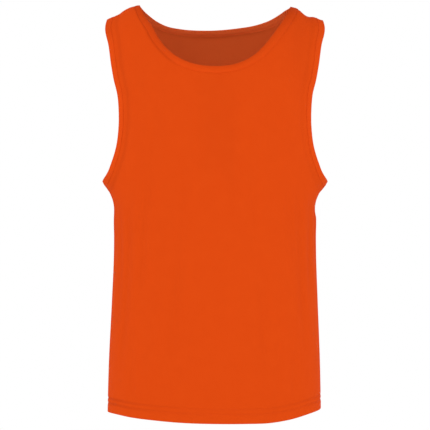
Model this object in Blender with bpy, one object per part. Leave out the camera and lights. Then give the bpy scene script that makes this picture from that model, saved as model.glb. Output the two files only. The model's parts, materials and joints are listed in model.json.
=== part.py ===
"""Mesh training bib: a sleeveless pull-on vest, filled out as it is worn.

Metres, +Z up. The front faces -Y and the wearer's left side is at +X. The origin is the
middle of the shoulders, where the wearer holds the bib up. It is cut and sewn from a front
panel, a back panel, a neck binding and two armhole bindings; the hem is turned up inside.

Every piece is a wall on one form. A place on that form is given in cloth coordinates:
"around", the angle from the centre line of the front or back face to a side seam, and
"up", the distance up the cloth, which past the start of the shoulder runs over it.
"""

import math
from collections import namedtuple

import bmesh
import bpy
import numpy as np

# Walls and seams
CLOTH_WALL = 0.0012
BINDING_WALL = 0.0020
BINDING_FOLD_WALL = 0.0010
BINDING_FOLD = 0.0012
BINDING_WIDTH = 0.0120
HEM_WALL = 0.0022
HEM_TURN = 0.0220
HEM_STEP = 0.0010
SEAM_GAP = 0.0003

# Shoulder and underarm
SHOULDER_FULLNESS = 0.88
UNDERARM_HEIGHT = -0.2930
UNDERARM_FLARE = 0.0230
FLARE_HEIGHT = -0.2830
FLARE_REACH_BELOW = 0.0270
FLARE_REACH_ABOVE = 0.0500
FLARE_NARROWNESS = 8

# The strap over the wearer's left shoulder sags between its two bindings.
STRAP_SAG = 0.0090
STRAP_SAG_AT = 0.1520
STRAP_SAG_REACH = 0.0110

# How finely each piece is divided, and how finely its lines are worked out
ARMHOLE_STATIONS = 20
ARMHOLE_BOTTOM_STATIONS = 4
NECK_STATIONS = 16
STRAP_COLUMNS = 4
LOWER_ROWS = 12
LOWER_ROW_BUNCHING = 0.5
FINE_STATIONS = 400
STATION_BUNCHING = 0.6

SIDE_SEAM = math.pi / 2
SHARP_ANGLE = math.radians(40)
STEP = 1e-4
INSET_STRIDES = 4
RIDGE_TRIES = 8
HALVINGS = 50
RED_ORANGE = (0.740, 0.070, 0.006, 1.0)

# Each face's depths in SECTIONS, its side of the middle, and the height where its cloth
# starts to round over to the top of the shoulder
Face = namedtuple("Face", "depth toward shoulder_start")
FRONT = Face("front_depth", -1.0, -0.190)
BACK = Face("back_depth", 1.0, -0.170)

# The binding from its folded free edge in to its seam
Ring = namedtuple("Ring", "inset wall")
BINDING_RINGS = (
    Ring(0.0, BINDING_FOLD_WALL),
    Ring(BINDING_FOLD, BINDING_WALL),
    Ring(BINDING_WIDTH / 2, BINDING_WALL),
    Ring(BINDING_WIDTH, BINDING_WALL),
)

# Level sections of the form, from the hem up and then over the shoulder
Section = namedtuple("Section", "up half_width front_depth back_depth squareness")
SECTIONS = (
    Section(-0.690, 0.1790, 0.1380, 0.1300, 2.20),
    Section(-0.600, 0.1770, 0.1360, 0.1260, 2.20),
    Section(-0.490, 0.1725, 0.1310, 0.1200, 2.20),
    Section(-0.387, 0.1690, 0.1270, 0.1150, 2.20),
    Section(-0.336, 0.1670, 0.1255, 0.1130, 2.20),
    Section(-0.293, 0.1680, 0.1245, 0.1120, 2.20),
    Section(-0.240, 0.1720, 0.1225, 0.1120, 2.20),
    Section(-0.190, 0.1770, 0.1200, 0.1115, 2.20),
    Section(-0.120, 0.1860, 0.1150, 0.1080, 2.20),
    Section(-0.060, 0.1930, 0.1110, 0.1040, 2.20),
    Section(0.000, 0.1980, 0.1080, 0.1000, 2.20),
    Section(0.110, 0.2030, 0.1050, 0.0960, 2.20),
)

# Lines of the garment as they look from straight in front or behind. SHOULDER stands for
# the height of the shoulder line there.
Point = namedtuple("Point", "across height")
SHOULDER = None
SHOULDER_LINE = (
    Point(0.000, 0.0150),
    Point(0.070, 0.0110),
    Point(0.130, 0.0000),
    Point(0.150, -0.0060),
    Point(0.163, -0.0140),
    Point(0.176, -0.0200),
    Point(0.190, -0.0270),
    Point(0.210, -0.0400),
)
ARMHOLE_EDGE = (
    Point(0.1880, UNDERARM_HEIGHT),
    Point(0.1785, -0.2810),
    Point(0.1705, -0.2630),
    Point(0.1630, -0.2400),
    Point(0.1578, -0.2090),
    Point(0.1570, -0.1800),
    Point(0.1590, -0.1520),
    Point(0.1655, -0.1290),
    Point(0.1710, -0.1040),
    Point(0.1762, -0.0700),
    Point(0.1830, -0.0380),
    Point(0.1810, SHOULDER),
)
NECKLINE = {
    FRONT: (
        Point(-0.1300, SHOULDER),
        Point(-0.1175, -0.0205),
        Point(-0.1040, -0.0390),
        Point(-0.0930, -0.0600),
        Point(-0.0795, -0.0775),
        Point(-0.0620, -0.0925),
        Point(-0.0375, -0.1040),
        Point(0.0000, -0.1087),
        Point(0.0400, -0.1030),
        Point(0.0655, -0.0885),
        Point(0.0865, -0.0660),
        Point(0.1010, -0.0460),
        Point(0.1175, -0.0220),
        Point(0.1300, SHOULDER),
    ),
    BACK: (
        Point(-0.1300, SHOULDER),
        Point(-0.1135, -0.0105),
        Point(-0.1000, -0.0185),
        Point(-0.0820, -0.0255),
        Point(-0.0600, -0.0300),
        Point(-0.0150, -0.0325),
        Point(0.0400, -0.0290),
        Point(0.0690, -0.0240),
        Point(0.0945, -0.0160),
        Point(0.1120, -0.0090),
        Point(0.1300, SHOULDER),
    ),
}

# The hem's edge, by the angle from the centre of its face
HemPoint = namedtuple("HemPoint", "around height")
HEM_EDGE = {
    FRONT: (
        HemPoint(-90, -0.6785),
        HemPoint(-60, -0.6758),
        HemPoint(-30, -0.6770),
        HemPoint(0, -0.6812),
        HemPoint(15, -0.6822),
        HemPoint(35, -0.6795),
        HemPoint(60, -0.6735),
        HemPoint(90, -0.6722),
    ),
    BACK: (
        HemPoint(-90, -0.6785),
        HemPoint(-30, -0.6765),
        HemPoint(25, -0.6790),
        HemPoint(90, -0.6722),
    ),
}

# Largest folds: "around" is the angle from the front's centre, negative to the wearer's right
Fold = namedtuple("Fold", "around low high spread depth")
FOLDS = (
    Fold(-9, -0.43, -0.14, 5, -0.0030),
    Fold(11, -0.41, -0.13, 5, -0.0030),
    Fold(-52, -0.62, -0.30, 5, -0.0030),
    Fold(-64, -0.55, -0.32, 4, -0.0025),
    Fold(54, -0.60, -0.28, 5, -0.0030),
    Fold(66, -0.50, -0.31, 4, -0.0025),
    Fold(168, -0.45, -0.16, 7, -0.0030),
    Fold(-170, -0.62, -0.34, 7, -0.0030),
    Fold(126, -0.60, -0.30, 6, -0.0035),
    Fold(-124, -0.56, -0.28, 6, -0.0035),
)


def smooth_curve(at, knots, values):
    """Read at these places, the smooth curve that passes through the values at the knots."""
    at = np.asarray(at, float)
    knots = np.asarray(knots, float)
    values = np.asarray(values, float)
    slopes = np.gradient(values, knots)
    low = np.clip(np.searchsorted(knots, at) - 1, 0, len(knots) - 2)
    span = knots[low + 1] - knots[low]
    along = np.clip((at - knots[low]) / span, 0, 1)
    rest = 1 - along
    start = rest * rest * (1 + 2 * along) * values[low]
    end = along * along * (1 + 2 * rest) * values[low + 1]
    lift = along * rest * rest * span * slopes[low]
    fall = along * along * rest * span * slopes[low + 1]
    return start + end + lift - fall


def column(table, name):
    return [getattr(row, name) for row in table]


def section_value(name, up):
    return smooth_curve(up, column(SECTIONS, "up"), column(SECTIONS, name))


def bell(distance, spread):
    return np.exp(-((distance / spread) ** 2))


def signed_power(value, power):
    return np.sign(value) * np.abs(value) ** power


def shoulder_height(across):
    line = smooth_curve(
        np.abs(across), column(SHOULDER_LINE, "across"), column(SHOULDER_LINE, "height")
    )
    return line - STRAP_SAG * bell(across - STRAP_SAG_AT, STRAP_SAG_REACH)


def reach_across(around, up):
    """How far a place lies from the middle plane, with the flare at the underarm."""
    sine = np.sin(around)
    power = 2 / section_value("squareness", up)
    flare_reach = np.where(up > FLARE_HEIGHT, FLARE_REACH_ABOVE, FLARE_REACH_BELOW)
    flare = UNDERARM_FLARE * bell(up - FLARE_HEIGHT, flare_reach)
    return section_value("half_width", up) * signed_power(sine, power) + (
        flare * signed_power(sine, FLARE_NARROWNESS)
    )


def bare_form(face, around, up):
    """The form without its folds, as points on its outside."""
    power = 2 / section_value("squareness", up)
    across = reach_across(around, up)
    depth = section_value(face.depth, up) * signed_power(np.cos(around), power)
    rise = shoulder_height(across) - face.shoulder_start
    turn = np.maximum(up - face.shoulder_start, 0) / rise
    height = np.minimum(up, face.shoulder_start) + rise * np.sin(turn)
    forward = depth * signed_power(np.cos(turn), SHOULDER_FULLNESS)
    return np.stack([across, face.toward * forward, height], axis=-1)


def normals_of(surface, face, around, up):
    """Outward unit normals of a surface, from its slopes both ways."""
    sideways = surface(face, around + STEP, up) - surface(face, around - STEP, up)
    upwards = surface(face, around, up + STEP) - surface(face, around, up - STEP)
    normals = -face.toward * np.cross(sideways, upwards)
    return normals / np.linalg.norm(normals, axis=-1, keepdims=True)


def fold_depth(face, around, up):
    """How far the folds move the cloth out of the bare form."""
    from_front = around if face is FRONT else math.pi - around
    total = np.zeros(np.shape(around))
    for fold in FOLDS:
        apart = from_front - math.radians(fold.around)
        apart = (apart + math.pi) % (2 * math.pi) - math.pi
        middle = (fold.low + fold.high) / 2
        half_length = (fold.high - fold.low) / 2
        fade = np.clip(1 - ((up - middle) / half_length) ** 2, 0, 1) ** 2
        total = total + fold.depth * fade * bell(apart, math.radians(fold.spread))
    return total


def cloth(face, around, up):
    """Points on the outside of the cloth."""
    out = normals_of(bare_form, face, around, up)
    return bare_form(face, around, up) + out * fold_depth(face, around, up)[..., None]


def ridge(face, across):
    """The place up the cloth where it crosses the top of the shoulder."""
    rise = shoulder_height(across) - face.shoulder_start
    return face.shoulder_start + rise * math.pi / 2


def place_seen(face, across, height):
    """Cloth coordinates of places given by how they look from in front."""
    rise = shoulder_height(across) - face.shoulder_start
    turn = np.arcsin(np.clip((height - face.shoulder_start) / rise, 0, 1))
    up = np.minimum(height, face.shoulder_start) + rise * turn
    low = np.full(np.shape(across), -SIDE_SEAM)
    high = np.full(np.shape(across), SIDE_SEAM)
    for _ in range(HALVINGS):
        middle = (low + high) / 2
        short = reach_across(middle, up) < across
        low = np.where(short, middle, low)
        high = np.where(short, high, middle)
    return (low + high) / 2, up


def points_of(table, side=1):
    """The table's points as rows of numbers, on one side, with SHOULDER worked out."""
    rows = []
    for across, height in table:
        across *= side
        rows.append((across, shoulder_height(across) if height is SHOULDER else height))
    return np.array(rows)


def pinned(face, around, up, at_side_seam, at_ridge):
    """The same line with the named ends put back on the side seam or the shoulder's ridge."""
    around, up = around.copy(), up.copy()
    for end in at_side_seam:
        around[end] = math.copysign(SIDE_SEAM, around[end])
    for end in at_ridge:
        up[end] = ridge(face, reach_across(around[end], up[end]))
    return around, up


def moved_in(face, line, width, inward, ends):
    """A line moved over the cloth, square to itself, by a width to its inward side."""
    around, up = line
    for _ in range(INSET_STRIDES):
        along = np.gradient(cloth(face, around, up), axis=0)
        across = inward * np.cross(normals_of(cloth, face, around, up), along)
        across *= width / INSET_STRIDES / np.linalg.norm(across, axis=-1, keepdims=True)
        turn = (cloth(face, around + STEP, up) - cloth(face, around - STEP, up)) / STEP / 2
        rise = (cloth(face, around, up + STEP) - cloth(face, around, up - STEP)) / STEP / 2
        turn_turn, rise_rise = (turn * turn).sum(-1), (rise * rise).sum(-1)
        turn_rise = (turn * rise).sum(-1)
        on_turn, on_rise = (turn * across).sum(-1), (rise * across).sum(-1)
        spread = turn_turn * rise_rise - turn_rise**2
        around = around + (on_turn * rise_rise - on_rise * turn_rise) / spread
        up = up + (on_rise * turn_turn - on_turn * turn_rise) / spread
        around, up = pinned(face, around, up, *ends)
    return around, up


def bunched(count):
    """Shares from 0 to 1 that lie closer together at both ends."""
    return (1 - np.cos(np.linspace(0, math.pi, count))) / 2


def stationed_lines(face, edge, widths, inward, ends, stations):
    """A free edge and its copies further in, each read at the same shares of its length."""
    lengths = np.linalg.norm(np.diff(cloth(face, *edge), axis=0), axis=1)
    travelled = np.concatenate([[0], np.cumsum(lengths)]) / lengths.sum()
    lines = []
    for width in widths:
        line = moved_in(face, edge, width, inward, ends)
        lines.append([np.interp(stations, travelled, values) for values in line])
    return lines


def armhole_lines(face, side, widths):
    """Lines round half an armhole from the underarm to the shoulder, at each width in."""
    ends = ([0], [-1])
    points = points_of(ARMHOLE_EDGE, side)
    height = points[0, 1] + (points[-1, 1] - points[0, 1]) * bunched(FINE_STATIONS)
    across = smooth_curve(height, points[:, 1], points[:, 0])
    edge = pinned(face, *place_seen(face, across, height), *ends)
    even = np.linspace(0, 1, ARMHOLE_STATIONS + 1)
    stations = even + STATION_BUNCHING * (bunched(ARMHOLE_STATIONS + 1) - even)
    return stationed_lines(face, edge, widths, -side * face.toward, ends, stations)


def neck_lines(face, widths):
    """Lines round half the neck from the wearer's right to the left, at each width in."""
    ends = ([], [0, -1])
    points = points_of(NECKLINE[face])
    steps = np.linalg.norm(np.diff(points, axis=0), axis=1)
    knots = np.concatenate([[0], np.cumsum(steps)])
    places = knots[-1] * bunched(FINE_STATIONS)
    across = smooth_curve(places, knots, points[:, 0])
    height = smooth_curve(places, knots, points[:, 1])
    edge = pinned(face, *place_seen(face, across, height), *ends)
    stations = np.linspace(0, 1, NECK_STATIONS + 1)
    return stationed_lines(face, edge, widths, face.toward, ends, stations)


def hem_up(face, around):
    edge = HEM_EDGE[face]
    return smooth_curve(np.degrees(around), column(edge, "around"), column(edge, "height"))


def top_of_panel(face, right_end, left_end, neck):
    """The panel's top from right to left: a shoulder seam, the neckline, a shoulder seam."""
    strap = np.linspace(0, 1, STRAP_COLUMNS + 1)[:-1]
    right = right_end + (neck[0][0] - right_end) * strap
    left = left_end + (neck[0][-1] - left_end) * strap
    around = np.concatenate([right, neck[0], left[::-1]])
    flat = np.zeros(STRAP_COLUMNS)
    up = np.concatenate([flat, neck[1], flat])
    seams = [*range(STRAP_COLUMNS + 1), *range(-STRAP_COLUMNS - 1, 0)]
    for _ in range(RIDGE_TRIES):
        around, up = pinned(face, around, up, [], seams)
    return around, up


def chest_rows(face, right, left, neck):
    """Rows of the chest and straps, level with the armholes' stations."""
    corner = ARMHOLE_BOTTOM_STATIONS
    share = np.linspace(0, 1, 2 * STRAP_COLUMNS + NECK_STATIONS + 1)

    def between(at_right, at_left):
        return at_right + (at_left - at_right) * share

    top_around, top_up = top_of_panel(face, right[0][-1], left[0][-1], neck)
    top_share = (top_around - top_around[0]) / (top_around[-1] - top_around[0])
    bottom_up = between(right[1][corner], left[1][corner])
    rows = []
    for station in range(corner, ARMHOLE_STATIONS + 1):
        risen = between(
            (right[1][station] - right[1][corner]) / (right[1][-1] - right[1][corner]),
            (left[1][station] - left[1][corner]) / (left[1][-1] - left[1][corner]),
        )
        mixed = share + (top_share - share) * risen
        around = right[0][station] + mixed * (left[0][station] - right[0][station])
        rows.append((around, bottom_up + (top_up - bottom_up) * risen))
    return rows


def body_rows(face, right, left, first_chest_row):
    """Rows from the hem to the armholes, and how thick the cloth is at each."""
    corner = ARMHOLE_BOTTOM_STATIONS
    rim_around, rim_up = (
        np.concatenate([right[axis][:corner], first_chest_row[axis], left[axis][corner - 1 :: -1]])
        for axis in (0, 1)
    )
    hem_around = np.linspace(-SIDE_SEAM, SIDE_SEAM, len(rim_around))
    hem = hem_up(face, hem_around)
    ups = [hem + rise for rise in (0, HEM_TURN / 2, HEM_TURN - HEM_STEP / 2)]
    walls = [HEM_WALL] * len(ups)
    above_turn = hem + HEM_TURN + HEM_STEP / 2
    even = np.linspace(0, 1, LOWER_ROWS + 1)
    for part in even + LOWER_ROW_BUNCHING * even * (1 - even):
        ups.append(above_turn + (rim_up - above_turn) * part)
        walls.append(CLOTH_WALL)
    rows = []
    for up in ups:
        climbed = (up - hem) / (rim_up - hem)
        rows.append((hem_around + (rim_around - hem_around) * climbed, up))
    return rows, walls


def closed_wall(name, outside, inside, cells, material):
    """A closed wall between two sheets of points that share their four-cornered cells."""
    solid = bmesh.new()
    outer = [solid.verts.new(point) for point in outside]
    inner = [solid.verts.new(point) for point in inside]
    sides = set()
    for cell in cells:
        solid.faces.new([outer[corner] for corner in cell])
        solid.faces.new([inner[corner] for corner in reversed(cell)])
        sides.update(zip(cell, cell[1:] + cell[:1]))
    for start, end in sorted(sides):
        if (end, start) not in sides:
            solid.faces.new([outer[end], outer[start], inner[start], inner[end]])
    mesh = bpy.data.meshes.new(name)
    solid.to_mesh(mesh)
    solid.free()
    mesh.shade_smooth()
    mesh.set_sharp_from_angle(angle=SHARP_ANGLE)
    mesh.materials.append(material)
    piece = bpy.data.objects.new(name, mesh)
    bpy.context.scene.collection.objects.link(piece)
    return piece


def grid_cells(stacks, flipped):
    """The four-cornered cells between neighbouring rows of point numbers in each stack."""
    cells = []
    for rows in stacks:
        for low, high in zip(rows, rows[1:]):
            for cell in zip(low, low[1:], high[1:], high):
                cells.append(cell[::-1] if flipped else cell)
    return cells


def panel(face, name, material):
    """The front or back panel, one wall from its hem to its straps."""
    width = BINDING_WIDTH + SEAM_GAP
    (right,) = armhole_lines(face, -1, [width])
    (left,) = armhole_lines(face, 1, [width])
    (neck,) = neck_lines(face, [width])
    chest = chest_rows(face, right, left, neck)
    body, walls = body_rows(face, right, left, chest[0])
    rows = body + chest[1:]
    around = np.concatenate([row[0] for row in rows])
    up = np.concatenate([row[1] for row in rows])
    wide, narrow = len(body[0][0]), len(chest[0][0])
    wall = np.repeat(walls + [CLOTH_WALL] * (len(chest) - 1), [len(row[0]) for row in rows])

    points = cloth(face, around, up)
    sheets = []
    for depth in (np.zeros(len(points)), wall):
        sheet = points - normals_of(cloth, face, around, up) * depth[:, None]
        to_seam = np.maximum(face.toward * sheet[:, 1], SEAM_GAP / 2)
        sheet[:, 1] = face.toward * to_seam
        sheets.append(sheet)

    body_numbers = [range(wide * row, wide * (row + 1)) for row in range(len(body))]
    corner = ARMHOLE_BOTTOM_STATIONS
    first = wide * len(body)
    chest_numbers = [body_numbers[-1][corner : corner + narrow]]
    for row in range(len(chest) - 1):
        chest_numbers.append(range(first + narrow * row, first + narrow * (row + 1)))
    cells = grid_cells((body_numbers, chest_numbers), flipped=face is BACK)
    return closed_wall(name, *sheets, cells, material)


def binding(name, front_lines, back_lines, flipped, material):
    """A folded strip round an opening, from lines that start at its free edge."""
    outside, inside, rings = [], [], []
    for front, back, ring in zip(front_lines, back_lines, BINDING_RINGS):
        halves = ((FRONT, *front), (BACK, back[0][-2:0:-1], back[1][-2:0:-1]))
        first = sum(map(len, outside))
        for face, around, up in halves:
            out = normals_of(cloth, face, around, up)
            middle = cloth(face, around, up) - out * CLOTH_WALL / 2
            outside.append(middle + out * ring.wall / 2)
            inside.append(middle - out * ring.wall / 2)
        last = sum(map(len, outside))
        rings.append([*range(first, last), first])
    cells = grid_cells([rings], flipped)
    return closed_wall(name, np.concatenate(outside), np.concatenate(inside), cells, material)


def armhole_binding(side, name, material):
    widths = column(BINDING_RINGS, "inset")
    fronts = armhole_lines(FRONT, side, widths)
    backs = armhole_lines(BACK, side, widths)
    return binding(name, fronts, backs, side < 0, material)


def neck_binding(name, material):
    widths = column(BINDING_RINGS, "inset")
    return binding(name, neck_lines(FRONT, widths), neck_lines(BACK, widths), True, material)


def dyed_mesh(name, roughness):
    material = bpy.data.materials.new(name)
    material.use_nodes = True
    shader = material.node_tree.nodes["Principled BSDF"]
    shader.inputs["Base Color"].default_value = RED_ORANGE
    shader.inputs["Roughness"].default_value = roughness
    shader.inputs["Metallic"].default_value = 0.0
    return material


def clear_scene():
    for leftover in list(bpy.data.objects):
        bpy.data.objects.remove(leftover, do_unlink=True)


clear_scene()
panel(FRONT, "front_panel", dyed_mesh("front mesh", 0.80))
panel(BACK, "back_panel", dyed_mesh("back mesh", 0.80))
neck_binding("neck_binding", dyed_mesh("neck binding mesh", 0.75))
armhole_binding(1, "armhole_binding_left", dyed_mesh("left armhole binding mesh", 0.75))
armhole_binding(-1, "armhole_binding_right", dyed_mesh("right armhole binding mesh", 0.75))
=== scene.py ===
"""Looks of the mesh training bib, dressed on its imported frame.

Metres, +Z up; the front faces -Y and the wearer's left side is at +X. The bib is a front
and a back panel of knitted mesh with a turned-up hem, and a folded binding round the neck
and each armhole, all held by rows of stitches.

Every cloth piece is a thin shell on the form of its solid. A place on that form is given in
cloth coordinates: "around", the angle from the centre line of the front or back to a side
seam, and "up", the distance up the cloth, which past the start of the shoulder runs over it.
"""

import json
import math
from collections import namedtuple

import bpy
import numpy as np
from mathutils.kdtree import KDTree
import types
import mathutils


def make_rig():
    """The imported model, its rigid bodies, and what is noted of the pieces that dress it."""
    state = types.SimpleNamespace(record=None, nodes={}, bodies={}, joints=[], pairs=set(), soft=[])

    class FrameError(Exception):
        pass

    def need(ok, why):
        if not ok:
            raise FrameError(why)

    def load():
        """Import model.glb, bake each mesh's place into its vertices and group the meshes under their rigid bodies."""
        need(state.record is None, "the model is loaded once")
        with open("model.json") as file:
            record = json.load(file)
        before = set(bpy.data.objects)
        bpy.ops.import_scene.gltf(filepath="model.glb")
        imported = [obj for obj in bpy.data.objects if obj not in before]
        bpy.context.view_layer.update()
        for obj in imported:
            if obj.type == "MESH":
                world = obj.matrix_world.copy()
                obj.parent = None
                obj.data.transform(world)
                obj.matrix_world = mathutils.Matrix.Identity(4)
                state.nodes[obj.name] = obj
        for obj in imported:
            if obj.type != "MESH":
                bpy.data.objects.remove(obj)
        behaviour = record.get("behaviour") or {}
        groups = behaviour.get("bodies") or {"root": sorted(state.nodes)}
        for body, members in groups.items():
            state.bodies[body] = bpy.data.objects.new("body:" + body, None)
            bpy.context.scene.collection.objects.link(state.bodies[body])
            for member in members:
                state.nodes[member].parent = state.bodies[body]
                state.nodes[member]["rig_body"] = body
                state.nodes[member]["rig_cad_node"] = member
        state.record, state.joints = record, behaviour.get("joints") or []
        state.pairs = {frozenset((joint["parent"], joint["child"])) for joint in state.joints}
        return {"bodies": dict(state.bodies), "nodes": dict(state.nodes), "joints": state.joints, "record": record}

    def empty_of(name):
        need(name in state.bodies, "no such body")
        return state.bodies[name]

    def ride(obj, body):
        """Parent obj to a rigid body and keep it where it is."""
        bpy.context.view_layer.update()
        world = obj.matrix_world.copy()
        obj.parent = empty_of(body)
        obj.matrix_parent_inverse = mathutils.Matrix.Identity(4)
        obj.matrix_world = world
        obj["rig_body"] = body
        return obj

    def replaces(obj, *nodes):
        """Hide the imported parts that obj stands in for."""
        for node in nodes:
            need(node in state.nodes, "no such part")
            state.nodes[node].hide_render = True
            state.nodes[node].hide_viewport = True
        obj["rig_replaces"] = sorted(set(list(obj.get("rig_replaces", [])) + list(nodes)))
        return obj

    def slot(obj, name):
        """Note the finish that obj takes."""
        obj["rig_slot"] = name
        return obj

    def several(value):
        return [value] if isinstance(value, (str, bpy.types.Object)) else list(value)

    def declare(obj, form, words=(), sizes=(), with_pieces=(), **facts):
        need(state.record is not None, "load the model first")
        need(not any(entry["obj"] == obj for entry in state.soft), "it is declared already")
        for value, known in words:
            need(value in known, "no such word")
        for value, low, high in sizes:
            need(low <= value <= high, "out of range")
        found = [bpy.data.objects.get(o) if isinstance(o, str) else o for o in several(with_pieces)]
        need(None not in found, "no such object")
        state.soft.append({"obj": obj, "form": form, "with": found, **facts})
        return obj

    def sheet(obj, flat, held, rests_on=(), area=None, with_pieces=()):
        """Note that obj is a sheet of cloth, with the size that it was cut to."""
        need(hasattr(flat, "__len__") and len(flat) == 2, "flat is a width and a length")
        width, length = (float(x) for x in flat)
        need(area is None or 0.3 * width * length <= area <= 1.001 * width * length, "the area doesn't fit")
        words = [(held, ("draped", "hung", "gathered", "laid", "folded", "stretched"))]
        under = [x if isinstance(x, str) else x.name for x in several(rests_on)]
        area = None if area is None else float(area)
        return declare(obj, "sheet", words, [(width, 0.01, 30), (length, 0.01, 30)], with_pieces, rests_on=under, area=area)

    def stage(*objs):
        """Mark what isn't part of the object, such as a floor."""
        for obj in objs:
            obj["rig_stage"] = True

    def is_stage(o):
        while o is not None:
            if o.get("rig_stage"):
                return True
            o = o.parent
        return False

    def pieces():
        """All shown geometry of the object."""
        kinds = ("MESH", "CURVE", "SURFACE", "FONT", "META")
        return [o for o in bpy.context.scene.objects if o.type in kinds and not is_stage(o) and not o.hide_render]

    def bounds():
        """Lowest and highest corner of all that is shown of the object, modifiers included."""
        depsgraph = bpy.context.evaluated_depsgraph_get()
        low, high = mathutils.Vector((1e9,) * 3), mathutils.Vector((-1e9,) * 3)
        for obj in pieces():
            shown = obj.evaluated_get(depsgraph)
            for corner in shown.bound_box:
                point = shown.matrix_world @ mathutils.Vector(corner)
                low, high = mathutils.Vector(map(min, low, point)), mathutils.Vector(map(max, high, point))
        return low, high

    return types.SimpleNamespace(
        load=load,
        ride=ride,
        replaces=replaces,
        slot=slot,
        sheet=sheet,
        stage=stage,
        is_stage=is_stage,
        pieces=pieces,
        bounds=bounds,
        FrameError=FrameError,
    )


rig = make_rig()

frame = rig.load()
cad_low, cad_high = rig.bounds()

# The tables are drawn for a bib of this size, and FIT brings them to the frame's own size.
DRAWN_SIZE = (0.3759, 0.2673, 0.6823)
FIT = np.array([have / drawn for have, drawn in zip(cad_high - cad_low, DRAWN_SIZE)])

# Cloth of the panels, and the hem turned up inside
CLOTH = 0.0006
HEM_TURN = 0.0245
HEM_LAYER_GAP = 0.00015
HEM_BEND = (CLOTH + HEM_LAYER_GAP) / 2
HEM_ROWS = (0.0152, 0.0232)
HEM_DIP = 0.00050
HEM_DIP_REACH = 0.0022
HEM_MIDDLE_SHARE = 0.15
HEM_LEAN = 0.35
HEM_ROW_SPACING = 0.0010
HEM_STITCHED_HEIGHT = 0.0300
HEM_BEND_STEPS = 7

# Bindings: strips folded over the panels' cut edges
BINDING_CLOTH = 0.0005
BINDING_WIDTH = 0.0120
BINDING_COVER = 0.0090
BINDING_SLACK = 0.00005
BINDING_BEND = (CLOTH + BINDING_CLOTH) / 2 + BINDING_SLACK
BINDING_ROW = 0.0103
BINDING_BEND_STEPS = 7
BINDING_STEPS_TO_ROW = 7
BINDING_STEPS_PAST_ROW = 6
BINDING_EDGE_ROUNDING = CLOTH / 4
BINDING_EDGE_SHARES = (0.8, 0.45)

# How the cloth is drawn in beside the bindings, and how the neck's edge rolls in
GROOVE = 0.00020
ARMHOLE_GROOVE = 0.00008
GROOVE_AT = 0.0128
GROOVE_REACH = 0.0026
PULL = 0.00045
PULL_AT = 0.0232
PULL_REACH = 0.0038
ROLL_REACH = 0.0110
ROLL_AT_BACK = 0.25

# Stitches
STITCH_PITCH = 0.0031
STITCH_LENGTH = 0.0025
THREAD_WIDTH = 0.00042
STITCH_PRESS = 0.00026
STITCH_PRESS_REACH = 0.0009
STITCH_SIDES = 6
STITCH_BLUNTNESS = 0.8
PUCKER = 0.00022
PUCKER_REACH = 0.0070

# Where two panels meet, at the sides and over the shoulders, and their overlocked edges
# inside, with the shares of their full thickness from the seam outwards
SEAM_DIP = 0.0005
SEAM_DIP_REACH = 0.0018
SEAM_DIP_STARTS = 0.0090
SEAM_DIP_FULL = 0.0130
ALLOWANCE_WIDTH = 0.0060
ALLOWANCE_THICKNESS = 0.0011
ALLOWANCE_SLACK = 0.0001
ALLOWANCE_START = 0.0002
ALLOWANCE_SHARES = (0.55, 0.9, 1.0, 1.0, 1.0, 0.9, 0.55)
OVERLOCK_PITCH = 0.0023
OVERLOCK_SHARE_AT_EDGE = 0.6

# Shoulder and underarm
SHOULDER_FULLNESS = 0.88
UNDERARM_HEIGHT = -0.2930
UNDERARM_FLARE = 0.0230
FLARE_HEIGHT = -0.2830
FLARE_REACH_BELOW = 0.0315
FLARE_REACH_ABOVE = 0.0500
FLARE_NARROWNESS = 8

# How finely the cloth is divided
ARMHOLE_STATIONS = 104
ARMHOLE_BOTTOM_STATIONS = 16
NECK_STATIONS = 88
STRAP_COLUMNS = 14
LOWER_ROWS = 110
BINDING_STATIONS = 132
ALLOWANCE_STATIONS = 120
FINE_STATIONS = 900
STATION_BUNCHING = 0.6
LENGTH_STEPS = 20
SHARP_ANGLE = math.radians(50)

# The side seam's angle, and the steps by which slopes, lines and places are worked out
SIDE_SEAM = math.pi / 2
STEP = 1e-4
INSET_STRIDE = 0.0035
RIDGE_TRIES = 8
HALVINGS = 50

# Where the shoulder line sags, most of all on the strap over the wearer's left shoulder. A
# sag below 0 is a rise.
Sag = namedtuple("Sag", "across depth reach")
STRAP_SAGS = (
    Sag(-0.1370, -0.0013, 0.0110),
    Sag(0.1280, 0.0018, 0.0120),
    Sag(0.1520, 0.0085, 0.0110),
    Sag(0.1750, 0.0024, 0.0080),
)

# Each face's depths in SECTIONS, its side of the middle, and the height where its cloth
# starts to round over to the top of the shoulder
Face = namedtuple("Face", "depth toward shoulder_start")
FRONT = Face("front_depth", -1.0, -0.190)
BACK = Face("back_depth", 1.0, -0.170)

# Level sections of the form, from the hem up and then over the shoulder. "sway" is how far
# a section hangs towards the wearer's left. SQUARENESS is 2 for an ellipse.
SQUARENESS = 2.20
Section = namedtuple("Section", "up half_width front_depth back_depth sway", defaults=[0.0])
SECTIONS = (
    Section(-0.690, 0.1790, 0.1380, 0.1300, -0.0013),
    Section(-0.600, 0.1770, 0.1360, 0.1260, -0.0010),
    Section(-0.490, 0.1723, 0.1310, 0.1200, -0.0003),
    Section(-0.415, 0.1695, 0.1281, 0.1164),
    Section(-0.387, 0.1692, 0.1270, 0.1150),
    Section(-0.358, 0.1696, 0.1261, 0.1138),
    Section(-0.336, 0.1681, 0.1255, 0.1130),
    Section(-0.293, 0.1680, 0.1245, 0.1120),
    Section(-0.240, 0.1720, 0.1225, 0.1120),
    Section(-0.190, 0.1770, 0.1200, 0.1115),
    Section(-0.120, 0.1860, 0.1150, 0.1080),
    Section(-0.060, 0.1930, 0.1110, 0.1040),
    Section(0.000, 0.1980, 0.1080, 0.1000),
    Section(0.110, 0.2030, 0.1050, 0.0960),
)

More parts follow.
